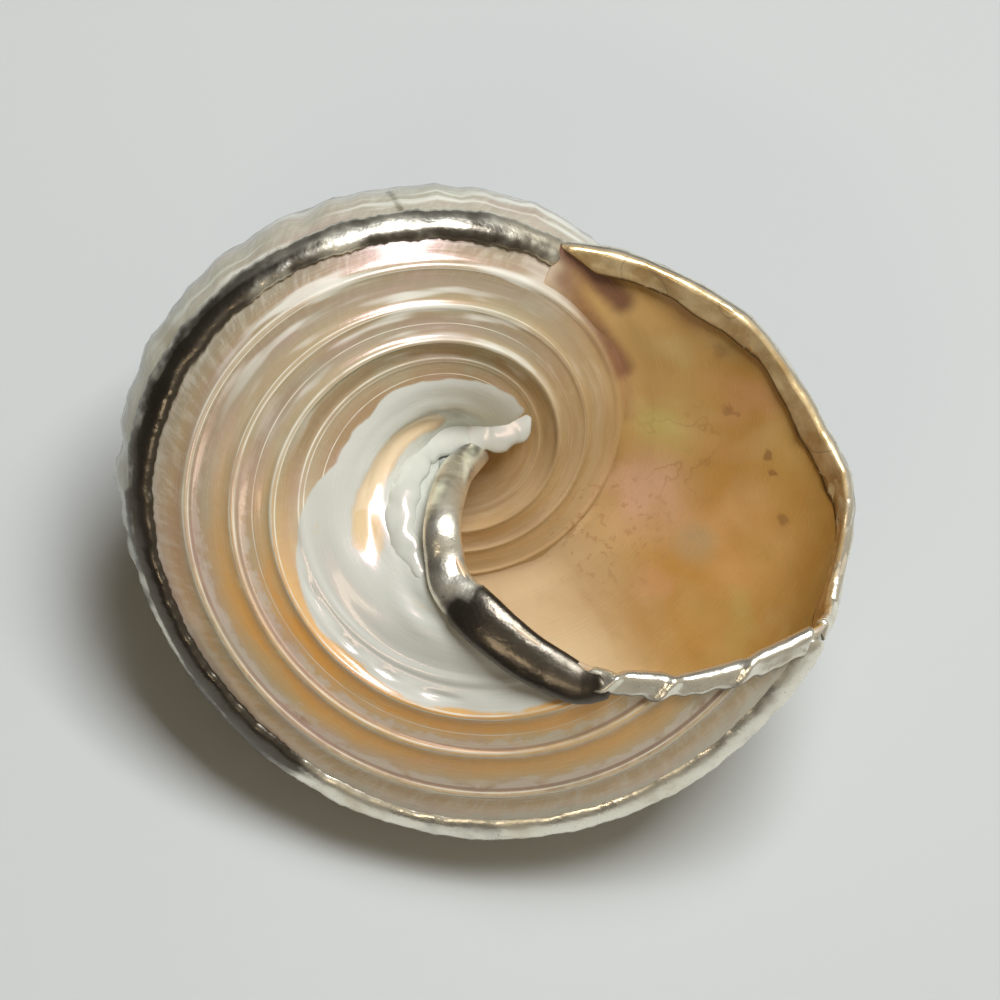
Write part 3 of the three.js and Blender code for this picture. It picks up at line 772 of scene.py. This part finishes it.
    def inner_face(self, colour):
        """Cream in the depths, amber toward the lip, with rosy and green clouds and a grain."""
        clouded = self.between(self.cloud, 0.35, 0.65)
        amber = self.mix(clouded, (0.57, 0.31, 0.08), (0.68, 0.43, 0.15))
        amber = self.mix(self.between(self.second_cloud, 0.55, 0.7, 0.0, 0.6), amber,
                         (0.58, 0.48, 0.17))
        amber = self.mix(self.between(self.second_cloud, 0.42, 0.3, 0.0, 0.6), amber,
                         (0.78, 0.42, 0.22))
        cream = self.mix(self.between(self.cloud, 0.4, 0.6), (0.80, 0.60, 0.36), (0.88, 0.72, 0.48))
        toward_lip = self.between(self.dot(self.spot, (0.86, 0.50, 0.24)), 0.008, 0.026)
        within = self.mix(toward_lip, cream, amber)
        brink = self.mix(toward_lip, (0.86, 0.66, 0.42), (0.62, 0.40, 0.16))
        within = self.mix(self.between(self.place, 1.7, 1.98, 0.0, 0.8), within, brink)
        grain = self.along_whorl(34, 5, 3.0, 0.5)
        within = self.mix(self.between(grain, 0.5, 0.75, 0.0, 0.16), within, (0.90, 0.72, 0.42))
        within = self.mix(self.between(grain, 0.48, 0.28, 0.0, 0.22), within, (0.42, 0.25, 0.09))
        return self.mix(self.inside, colour, within)

    def chamber_marks(self, colour):
        """Tints, a field of small blots, specks, long strokes and an old tide line."""
        chamber = self.sum("MAXIMUM", self.inside, self.between(self.turn, 0.16, 0.12))
        for centre, reach, share, tint in CHAMBER_TINTS:
            shade = self.times(self.near(centre, reach), self.between(self.second_cloud, 0.38, 0.6),
                               share, chamber)
            colour = self.mix(shade, colour, tint)
        blotted = self.times(self.near((0.0150, 0.0060, 0.0180), 0.012), chamber,
                             self.between(self.blots, 0.56, 0.62), 0.5)
        colour = self.mix(blotted, colour, (0.50, 0.27, 0.13))
        for centre, reach, share in CHAMBER_SPECKS:
            away = self.plus(self.distance(self.spot, centre), self.ragged)
            speck = self.times(self.between(away, reach, reach * 0.3), share, chamber)
            colour = self.mix(speck, colour, SPECK_BROWN)
        for first, last, reach, share, tint in STROKES:
            colour = self.mix(self.times(self.beside(first, last, reach), share), colour, tint)
        wavy = self.off_half(self.noise(self.spot, 130, 3.0, 0.55))
        tide = self.times(self.between(self.sum("ABSOLUTE", wavy), 0.014, 0.003),
                          self.near((0.0215, 0.0135, 0.0280), 0.009), 0.38)
        return self.mix(tide, colour, (0.40, 0.21, 0.08))

    def callus(self, colour):
        """Porcelain white as far as the callus reaches, bare in the groove and on the rim."""
        grit = self.off_half(self.noise(self.spot, 420, 3.0, 0.6))
        groove = self.between(self.attribute("bare"), 0.2, 0.8, 0.0, 0.85)
        colour = self.mix(groove, colour, (0.86, 0.66, 0.42))
        margin = self.minus(self.attribute("callus_edge"), self.place)
        margin = self.plus(margin, self.times(grit, 0.012))
        bare = self.plus(self.attribute("bare"), self.times(grit, 0.35))
        on_rim = self.times(self.between(self.attribute("from_lip"), 2.2, 0.4),
                            self.between(self.place, 0.05, 0.12))
        white = self.times(self.between(margin, -0.004, 0.006), self.between(bare, 0.62, 0.3, 0.1, 1.0),
                           self.between(self.inside, 0.0, 1.0, 1.0, 0.0),
                           self.minus(1, on_rim))
        china = self.mix(self.noise(self.spot, 90, 3.0), (0.63, 0.635, 0.57), (0.55, 0.555, 0.495))
        colour = self.mix(white, colour, china)
        flakes = self.times(self.off_half(self.noise(self.spot, 300, 5.0, 0.7)), 0.9)
        stained = self.plus(self.attribute("stain"), flakes)
        return self.mix(self.between(stained, 0.5, 0.62, 0.0, 0.55), colour, (0.66, 0.48, 0.24))


def nacre_finish():
    finish = Nacre()
    colour = finish.growth_lines(finish.bands())
    colour = finish.band_edges(finish.painted_cord_highlights(colour))
    colour = finish.honey_whorl(finish.play_of_colour(colour))
    colour = finish.chamber_marks(finish.inner_face(colour))
    colour = finish.mix(1.0, colour, (0.89, 0.86, 0.79), "MULTIPLY")
    finish.set(
        Base_Color=finish.callus(colour), Roughness=finish.between(finish.fine, 0.3, 0.7, 0.16, 0.30),
        Coat_Weight=0.5, Coat_Roughness=0.08, Specular_IOR_Level=0.65,
        Thin_Film_Thickness=420.0, Thin_Film_IOR=1.5,
    )
    calm = finish.between(finish.inside, 0.0, 1.0, 1.0, 0.25)
    low = finish.bump(finish.times(finish.lines, calm), 0.10, 0.0002)
    finish.set(Normal=finish.bump(finish.times(finish.fine, calm), 0.08, 0.0002, under=low))
    return finish.material


nacre = nacre_finish()

ring = whorl_outline()
outline = outline_mesh(
    "whorl outline", ring["co"],
    {key: ring[key] for key in ("end", "place", "inside")}, {"inset": ring["inset"]},
)
shell = whorl_tree().grow("turban_shell", outline, {
    "Rows": 470, "First angle": -2500.0, "Share of even steps": 0.24,
    "Keel radius": KEEL_RADIUS, "Keel angle": KEEL_ANGLE, "Whorl growth": WHORL_GROWTH,
    "Apex to keel": APEX_TO_KEEL, "Lobe size": LOBE_SIZE, "Lobe angle": LOBE_ANGLE,
    "Wall": WALL, "Lip wall": LIP_WALL, "Lip thinning": LIP_THINNING, "Lip rounding": 0.5,
    "Spin": (0.0, 0.0, math.radians(SPIN)),
    "Lie": (math.radians(LEAN), 0.0, math.radians(HEADING)),
    "Apex": APEX, "Material": nacre,
})
work_surface(shell)


def smooth_and_face_out(piece):
    """Shades the skin smooth and turns its faces outward."""
    work = bmesh.new()
    work.from_mesh(piece.data)
    if work.calc_volume(signed=True) < 0:
        bmesh.ops.reverse_faces(work, faces=work.faces)
    for face in work.faces:
        face.smooth = True
    work.to_mesh(piece.data)
    work.free()


smooth_and_face_out(shell)
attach(shell, "root")
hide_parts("shell")


# ---------------------------------------------------------------------------------------------
# The keel strip. A half-round strip of silver solder laid along the keel, run on by hand, so
# that its width wanders and its top is dented.

def laid_on_table(points):
    """Takes points from the shell's own frame to where it lies."""
    lie = Matrix.Rotation(math.radians(HEADING), 3, "Z")
    lie = lie @ Matrix.Rotation(math.radians(LEAN), 3, "X")
    lie = lie @ Matrix.Rotation(math.radians(SPIN), 3, "Z")
    return np.asarray(points) @ np.array(lie).T


def on_shell(radius, height, angle):
    """A point of a whorl's outline, turned and grown to an angle, where the shell lies."""
    turn = np.radians(angle)
    lobe = 1 + LOBE_SIZE * np.square(radius) * np.cos(3 * turn - math.radians(LOBE_ANGLE))
    reach = growth(angle) * radius * lobe
    rise = growth(angle) * (APEX_TO_KEEL + np.asarray(height))
    spot = np.stack([reach * np.cos(turn), reach * np.sin(turn), rise], -1)
    return laid_on_table(spot) + np.array(APEX)


def unit(vectors):
    """The same directions, each one long."""
    return vectors / np.linalg.norm(vectors, axis=-1, keepdims=True)


def band_tree():
    """Sweeps a section along stations, then dents and crinkles the skin."""
    tree = Tree("silver band", [
        ("Section", "Object"), ("Dent size", "Float"), ("Dent depth", "Float"),
        ("Crinkle size", "Float"), ("Crinkle depth", "Float"), ("Seed", "Float"),
        ("Gilding", "Float"), ("Material", "Material"),
    ])
    given = tree.given
    stations = given["Geometry"]
    section = tree.node("GeometryNodeObjectInfo", {"Object": given["Section"]}).outputs["Geometry"]

    grid, row, column = tree.rolled_sheet(tree.points_in(stations), tree.points_in(section))

    def of_row(name, kind="FLOAT"):
        return tree.sample(stations, tree.named(name, kind), row, kind)

    def of_column(name):
        return tree.sample(section, tree.named(name), column)

    position = tree.node("GeometryNodeInputPosition").outputs[0]
    centre = tree.sample(stations, position, row, "FLOAT_VECTOR")
    side = of_column("side")
    outward = tree.sum("GREATER_THAN", side, 0)
    fold = tree.plus(tree.times(outward, of_row("fold")),
                    tree.times(tree.minus(1, outward), of_row("fold_within")))
    girth = of_row("girth")
    ahead = tree.minus(of_column("ahead"), tree.times(of_column("arm"), fold))
    aside = tree.plus(tree.times(side, of_row("half")), of_column("off"))
    swept = tree.vector_sum(
        "ADD", tree.scaled(of_row("forward", "FLOAT_VECTOR"), tree.times(ahead, girth)),
        tree.scaled(of_row("across", "FLOAT_VECTOR"), tree.times(aside, girth)))
    swept = tree.vector_sum("ADD", centre, swept)
    within = tree.sum("LESS_THAN", side, -0.5)
    skin = tree.store(grid, "gilt", tree.times(within, given["Gilding"]))
    # Painted shade and dark reflection: each row's darkening amount, doubled on the inner half of the
    # section (side below 0.1), is stored for the silver to darken by.
    shaded_side = tree.plus(0.75, tree.times(tree.sum("LESS_THAN", side, 0.1), 0.75))
    skin = tree.store(skin, "border", of_column("arm"))
    skin = tree.store(skin, "dull", tree.times(of_row("dull"), shaded_side))
    skin = tree.node("GeometryNodeSetPosition", {"Geometry": skin, "Position": swept}).outputs[0]
    skin = tree.node("GeometryNodeMergeByDistance", {"Geometry": skin, "Distance": 1e-6}).outputs[0]

    def wander(size_input, depth_input, shift):
        spot = tree.vector_sum("ADD", position, tree.node(
            "ShaderNodeCombineXYZ", {0: tree.plus(given["Seed"], shift)}).outputs[0])
        noise = tree.node("ShaderNodeTexNoise", {
            "Vector": spot, "Scale": tree.sum("DIVIDE", 1, given[size_input]), "Detail": 2.0,
        }).outputs[0]
        return tree.times(tree.minus(noise, 0.5), given[depth_input])

    push = tree.plus(wander("Dent size", "Dent depth", 0.0),
                    wander("Crinkle size", "Crinkle depth", 5.0))
    normal = tree.node("GeometryNodeInputNormal").outputs[0]
    skin = tree.node("GeometryNodeSetPosition", {
        "Geometry": skin, "Offset": tree.scaled(normal, push),
    }).outputs[0]
    tree.finish(skin, given["Material"])
    return tree


silver_bands = band_tree()


def section_object(name, points):
    """A closed cross-section: (share of the fold, ahead, share of the half-width, off)."""
    rows = np.array(points, float)
    mesh = outline_mesh(name, np.zeros((len(rows), 3)), {
        "arm": rows[:, 0], "ahead": rows[:, 1], "side": rows[:, 2], "off": rows[:, 3],
    }, {})
    holder = bpy.data.objects.new(name, mesh)
    bpy.context.scene.collection.objects.link(holder)
    return holder


def silver_band(
    name, section, centre, forward, across, half, dents, crinkles, seed,
    fold=0.0, fold_within=0.0, gilding=0.0, dull=0.0, material=None,
):
    """One finished band; its first and last stations draw together to close it.

    Dents and crinkles each give the size and the depth of what the hand left in the skin.
    """
    count = len(centre)
    girth = np.ones(count)
    girth[[0, -1]] = 0.0
    girth[[1, -2]] = 0.75
    stations = outline_mesh(name + " stations", centre, {
        "half": np.broadcast_to(half, count), "fold": np.broadcast_to(fold, count),
        "fold_within": np.broadcast_to(fold_within, count), "girth": girth,
        "dull": np.broadcast_to(dull, count),
    }, {"forward": forward, "across": across})
    holder = section_object(name + " section", section)
    piece = silver_bands.grow(name, stations, {
        "Section": holder, "Dent size": dents[0], "Dent depth": dents[1],
        "Crinkle size": crinkles[0], "Crinkle depth": crinkles[1], "Seed": seed,
        "Gilding": gilding, "Material": material or silver,
    })
    bpy.data.objects.remove(holder)
    smooth_and_face_out(piece)
    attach(piece, "root")
    return piece


def silver_finish():
    """Solder-bright silver: warm where it is thin, dark specks, fine rubbing marks, and painted shade
    and dark reflection where a band asks for it.
    """
    finish = Finish("silver")
    spot = finish.on_object()
    patches = finish.noise(spot, 130, 4.0, 0.6)
    specks = finish.noise(spot, 1500, 3.0, 0.7)
    colour = finish.mix(finish.between(patches, 0.5, 0.72), (0.95, 0.91, 0.78), (0.76, 0.69, 0.53))
    colour = finish.mix(finish.between(specks, 0.6, 0.75, 0.0, 0.55), colour, (0.30, 0.26, 0.21))
    gilt = finish.attribute("gilt")
    creases = finish.noise(spot, 260, 4.0, 0.6)
    gold = finish.mix(finish.between(creases, 0.35, 0.65), (0.56, 0.35, 0.12), (0.80, 0.60, 0.31))
    folds = finish.sum("ABSOLUTE", finish.off_half(finish.noise(spot, 120, 1.0, 0.5)))
    gold = finish.mix(finish.between(folds, 0.010, 0.003, 0.0, 0.4), gold, (0.22, 0.12, 0.04))
    colour = finish.mix(finish.times(gilt, 0.92), colour, gold)
    margin = finish.between(finish.attribute("border"), 0.80, 0.97, 0.0, 0.85)
    colour = finish.mix(margin, colour, (0.11, 0.07, 0.03))
    # Painted shade and dark reflection: the darkening each band stores, broken into patches by noise
    # that also leaves a few faint tarnish patches, takes the silver nearly to black.
    shade_and_tarnish = finish.noise(spot, 170, 3.0, 0.6)
    shade_and_tarnish = finish.plus(finish.attribute("dull"), finish.between(shade_and_tarnish, 0.3, 0.7, -0.3, 0.3))
    shade_and_tarnish = finish.between(shade_and_tarnish, 0.15, 0.85)
    colour = finish.mix(finish.times(shade_and_tarnish, 0.92), colour, (0.045, 0.031, 0.019))
    finish.set(Base_Color=colour)
    finish.set(Metallic=finish.between(gilt, 0.0, 1.0, 0.88, 0.5))
    finish.set(Coat_Weight=0.12, Coat_Roughness=0.2)
    rough = finish.between(patches, 0.35, 0.75, 0.25, 0.44)
    finish.set(Roughness=rough)
    waves = finish.noise(spot, 420, 3.0, 0.55)
    first = finish.bump(waves, 0.22, 0.0006)
    finish.set(Normal=finish.bump(specks, 0.2, 0.00012, under=first))
    return finish.material


silver = silver_finish()

KEEL_FROM = 58.0
KEEL_TO = 343.0
keel_angles = np.arange(KEEL_FROM, KEEL_TO, 1.0)
keel_line = on_shell(1.0, 0.0, keel_angles)
off_base = outward(smooth_line(BASE_OUTLINE, [1.0])[1])[0]
off_flank = outward(smooth_line(FLANK_OUTLINE, [0.0])[1])[0]
crown = unit(off_base + off_flank)
rim = np.array([crown[1], -crown[0]])


def in_outline_plane(direction, angle):
    """A direction of the outline's own plane, turned to an angle, where the shell lies."""
    turn = np.radians(angle)
    flat = np.stack([
        direction[0] * np.cos(turn), direction[0] * np.sin(turn),
        np.full_like(turn, direction[1]),
    ], -1)
    return laid_on_table(flat)


wander = 1 + 0.09 * ripple(keel_angles * 0.35, keel_angles * 0.8)
wander += 0.05 * ripple(keel_angles * 2.3)
HALF_ROUND = [
    (0, -0.00036, 1.0, 0), (0, -0.00015, 1.03, 0), (0, 0.0001, 1.0, 0), (0, 0.00038, 0.88, 0),
    (0, 0.00062, 0.68, 0), (0, 0.00078, 0.42, 0), (0, 0.00086, 0.12, 0), (0, 0.00086, -0.2, 0),
    (0, 0.00078, -0.5, 0), (0, 0.0006, -0.74, 0), (0, 0.00035, -0.92, 0),
    (0, 0.00008, -1.02, 0), (0, -0.00018, -1.03, 0), (0, -0.00036, -1.0, 0),
    (0, -0.0002, -0.5, 0), (0, 0.00002, 0.0, 0), (0, -0.0002, 0.5, 0),
]
# The left run of the keel, about 125° to 256°, which is painted darkest with shade and dark reflection;
# the strip is also made a little wider there.
painted_dark_run = soft_step(keel_angles, 125, 165) * (1 - soft_step(keel_angles, 232, 256))
roll_over = np.radians(28) * soft_step(keel_angles, 215, 265)[:, None]
plain_out = in_outline_plane(crown, keel_angles)
plain_side = in_outline_plane(rim, keel_angles)
strip_out = plain_out * np.cos(roll_over) - plain_side * np.sin(roll_over)
strip_side = plain_side * np.cos(roll_over) + plain_out * np.sin(roll_over)
# Painted shade and dark reflection on the keel strip: darkest over the left run, some up to about 250°,
# least toward the mouth; the inner half darker than the outer.
keel_strip = silver_band(
    "keel_silver", HALF_ROUND, keel_line - strip_side * 0.0003, strip_out, strip_side,
    0.00178 * wander * (1 + 0.15 * painted_dark_run),
    dents=(0.006, 0.0004), crinkles=(0.0018, 0.00010), seed=1.0,
    dull=0.1 + 0.26 * (1 - soft_step(keel_angles, 200, 250)) + 0.6 * painted_dark_run,
)
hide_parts("keel_band")


# ---------------------------------------------------------------------------------------------
# The lip foils. Thin silver folded over the ground edge of the mouth and pressed down by hand,
# one along the flank and one along the base, with wavy borders and pressed-in creases.

def lip_stations(radii, heights, facing, ends):
    """Where the lip's edge runs: halfway through the wall, with the ways on and out."""
    def at(depth, angle):
        r = radii - facing[:, 0] * depth
        h = heights - facing[:, 1] * depth
        return on_shell(r, h, angle)

    outer = at(0.0, ends)
    inner = at(LIP_WALL, ends)
    across = outer - inner
    half = np.linalg.norm(across, axis=1) / 2
    across = unit(across)
    forward = outer - at(0.0, ends - 1.0)
    forward = unit(forward - across * np.sum(forward * across, axis=1)[:, None])
    return (outer + inner) / 2, forward, across, half


FOLDED_FOIL = [
    (1.0, 0, 1, 0.00006), (1.0, 0, 1, 0.00022), (0.85, 0, 1, 0.00034), (0.6, 0, 1, 0.00036),
    (0.3, 0, 1, 0.00034), (0.0, 0.0, 1, 0.00038), (0.0, 0.0004, 1, 0.0003),
    (0.0, 0.00072, 0.7, 0.0001), (0.0, 0.00086, 0.1, 0), (0.0, 0.00074, -0.7, -0.0001),
    (0.0, 0.0004, -1, -0.0003), (0.0, 0.0, -1, -0.00036), (0.3, 0, -1, -0.00038),
    (0.6, 0, -1, -0.00046), (0.85, 0, -1, -0.00058), (1.0, 0, -1, -0.0006),
    (1.0, 0, -1, -0.00046), (0.5, 0, -1, -0.0002), (0.0, 0.0003, -1, -0.00006),
    (0.0, 0.00042, 0, 0), (0.0, 0.0003, 1, 0.00006), (0.5, 0, 1, 0.00006),
]

flank_share = np.linspace(0.02, 1.0, 170)
flank_line, flank_way = smooth_line(FLANK_OUTLINE, flank_share)
flank_facing = outward(flank_way)
flank_end = table(LIP_ON_FLANK, flank_share)
run = np.linspace(0, 1, 170)
stations = lip_stations(flank_line[:, 0], flank_line[:, 1], flank_facing, flank_end)
outer_lip = silver_band(
    "outer_lip_silver", FOLDED_FOIL, *stations,
    dents=(0.0065, 0.0012), crinkles=(0.0022, 0.00014), seed=3.0,
    fold=0.0014 * (1 + 0.22 * ripple(run * 50, run * 85)),
    fold_within=0.0042 * (1 + 0.10 * ripple(run * 35, run * 70)), gilding=1.0,
)
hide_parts("outer_lip_band")

base_radius = np.linspace(0.985, 0.502, 90)
base_level, base_facing = base_height(base_radius)
base_level = base_level + cord_height(base_radius)
run = np.linspace(0, 1, 90)
stations = lip_stations(base_radius, base_level, base_facing, table(LIP_ON_BASE, base_radius))
basal_lip = silver_band(
    "basal_lip_silver", FOLDED_FOIL, *stations,
    dents=(0.0045, 0.0005), crinkles=(0.002, 0.00014), seed=7.0,
    fold=0.0023 * (1 + 0.16 * ripple(run * 42, run * 60)),
    fold_within=0.0011 * (1 + 0.15 * ripple(run * 45, run * 75)), gilding=0.25,
)
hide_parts("basal_lip_band")


# ---------------------------------------------------------------------------------------------
# The columella roll. A strip of silver rolled round the pillar's edge, wider where it meets the
# lip and drawn to a point where it runs down into the shell.

PILLAR_PATH = [
    (0.405, -0.386, 1.580, 0.016), (0.375, -0.398, 1.566, 0.026), (0.325, -0.403, 1.537, 0.038),
    (0.262, -0.381, 1.506, 0.045), (0.175, -0.332, 1.480, 0.050), (0.080, -0.260, 1.430, 0.051),
    (0.005, -0.195, 1.361, 0.047), (-0.012, -0.133, 1.312, 0.041), (-0.016, -0.060, 1.270, 0.039),
    (0.006, -0.012, 1.160, 0.037),
    (0.037, -0.004, 1.030, 0.035), (0.088, -0.006, 0.910, 0.028), (0.100, -0.006, 0.885, 0.018),
]
FACE_UP = (-0.06, 0.30, 0.92)


def roll_stations(path, count):
    """Stations along a path over the pillar, with the ways up and across, and half-widths."""
    line, way = smooth_line(path, count)
    spots = laid_on_table(line[:, :3] * KEEL_RADIUS) + np.array(APEX)
    along = unit(laid_on_table(way[:, :3]))
    up = np.broadcast_to(laid_on_table(np.array([FACE_UP])), along.shape)
    across = unit(np.cross(along, up))
    return spots, unit(np.cross(across, along)), across, line[:, 3] * KEEL_RADIUS


def flattened_round(rise, shift, count):
    """The cross-section of a strip rolled nearly flat."""
    turns = np.linspace(0, 2 * math.pi, count, endpoint=False)
    return [(0, math.sin(turn) * rise + shift, math.cos(turn), 0) for turn in turns]


spots, forward, across, half = roll_stations(PILLAR_PATH, 110)
share = np.linspace(0, 1, 110)
raised = 0.0008 * soft_step(share, 0.02, 0.14) - 0.0003 * bump_at(share, 0.5, 0.12)
spots = spots + across * 0.00055 + forward * raised[:, None]
seam = 1 + 0.10 * (share < 0.42) - 0.02 * ripple(share * 30)
# Painted shade and dark reflection on the roll: the part toward the lip, about the first four tenths,
# painted nearly black, the upper end a little darker again, and one half of the section darker than the
# other throughout.
columella = silver_band(
    "columella_silver", flattened_round(0.00105, -0.0001, 22), spots, forward, across,
    half * seam + 0.0004, dents=(0.009, 0.00022), crinkles=(0.0024, 0.0001), seed=11.0,
    dull=0.15 + 0.25 * soft_step(share, 0.78, 0.95) + 1.1 * (1 - soft_step(share, 0.38, 0.46)),
)
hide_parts("columella_band")

RIDGE_PATH = [
    (-0.050, -0.190, 1.317, 0.014), (-0.090, -0.135, 1.268, 0.030), (-0.112, -0.070, 1.212, 0.036),
    (-0.080, 0.012, 1.112, 0.034), (-0.030, 0.042, 0.992, 0.036), (0.060, 0.070, 0.910, 0.060),
    (0.110, 0.074, 0.910, 0.068), (0.155, 0.080, 0.918, 0.068), (0.205, 0.094, 0.930, 0.056),
    (0.250, 0.106, 0.936, 0.030),
]
share = np.linspace(0, 1, 90)
spots, forward, across, half = roll_stations(RIDGE_PATH, 90)
spots = spots + forward * 0.0003 - forward * 0.0005 * soft_step(share, 0.62, 0.95)[:, None]
ridge = silver_band(
    "columella_callus", flattened_round(0.0008, -0.0003, 26), spots, forward, across,
    1.15 * half * (1 + 0.08 * ripple(share * 60)),
    dents=(0.004, 0.0008), crinkles=(0.0011, 0.00030), seed=17.0, material=nacre,
)
put_attribute(ridge.data, "callus_edge", "FLOAT", np.ones(len(ridge.data.vertices)))


# ---------------------------------------------------------------------------------------------
# The floor. A wide sheet of pale grey paper, matt and a little green, laid flat on the table;
# the shell rests on it with nothing under it.

FLOOR_HALF = 1.5
paper = Finish("paper")
paper.set(Base_Color=(0.535, 0.55, 0.545), Roughness=0.8)
floor_mesh = bpy.data.meshes.new("paper_floor")
floor_mesh.from_pydata([
    (-FLOOR_HALF, -FLOOR_HALF, 0), (FLOOR_HALF, -FLOOR_HALF, 0),
    (FLOOR_HALF, FLOOR_HALF, 0), (-FLOOR_HALF, FLOOR_HALF, 0),
], [], [(0, 1, 2, 3)])
floor_mesh.materials.append(paper.material)
floor = bpy.data.objects.new("paper_floor", floor_mesh)
bpy.context.scene.collection.objects.link(floor)


# ---------------------------------------------------------------------------------------------
# The light. A broad cool window high above and a little behind the shell, a weak warm lamp in
# front, and a dim brown room whose three soft patches of light are what the silver shows.

def softbox(name, place, aim, size, power, colour):
    """A flat rectangular lamp that faces a point."""
    lamp = bpy.data.lights.new(name, "AREA")
    lamp.shape = "RECTANGLE"
    lamp.size, lamp.size_y = size
    lamp.energy = power
    lamp.color = colour
    holder = bpy.data.objects.new(name, lamp)
    holder.location = place
    holder.rotation_euler = (Vector(aim) - Vector(place)).to_track_quat("-Z", "Y").to_euler()
    bpy.context.scene.collection.objects.link(holder)


softbox("window_light", (0.105, 0.16, 0.81), (0, 0, 0.02), (0.38, 0.32), 7.6, (0.95, 0.98, 1.0))
softbox("front_light", (-0.145, -0.595, 0.57), (0, 0, 0.02), (0.24, 0.10), 0.6, (1.0, 0.84, 0.62))

room = bpy.data.worlds.new("room")
bpy.context.scene.world = room
room.use_nodes = True
air = Nodes(room.node_tree)
facing = air.node("ShaderNodeTexCoord").outputs["Generated"]
ROOM_BROWN = (0.075, 0.045, 0.020)
PATCH_CREAM = (1.0, 0.89, 0.70)
# Each patch of light: the way to it, where it begins and where it is full, as cosines.
LIGHT_PATCHES = [
    ((0.15, -0.4, 0.9), 0.80, 0.98), ((0.85, 0.1, 0.5), 0.55, 0.95),
    ((0.42, -0.72, 0.42), 0.86, 0.98),
]
lit = 0.0
for direction, start, full in LIGHT_PATCHES:
    toward = air.node(
        "ShaderNodeVectorMath", {0: facing, 1: Vector(direction).normalized()},
        operation="DOT_PRODUCT").outputs["Value"]
    lit = air.sum("MAXIMUM", lit, air.between(toward, start, full))
background = air.tree.nodes["Background"]
air.feed(background.inputs["Color"], air.mix(lit, ROOM_BROWN, PATCH_CREAM))
air.feed(background.inputs["Strength"], 0.31)


# ---------------------------------------------------------------------------------------------
# The camera. A long lens high above and a little in front of the shell, which lies so that its
# base and its open mouth face the lens.

lens = bpy.data.cameras.new("camera")
lens.lens = 115.7
lens.sensor_width = 36.0
lens.clip_start = 0.01
lens.clip_end = 20.0
camera = bpy.data.objects.new("camera", lens)
camera.location = (0.00166, -0.15086, 0.36662)
camera.rotation_euler = [math.radians(turn) for turn in (23.5786, -5.7255, 12.9146)]
bpy.context.scene.collection.objects.link(camera)
bpy.context.scene.camera = camera
bpy.context.scene.view_settings.view_transform = "Standard"
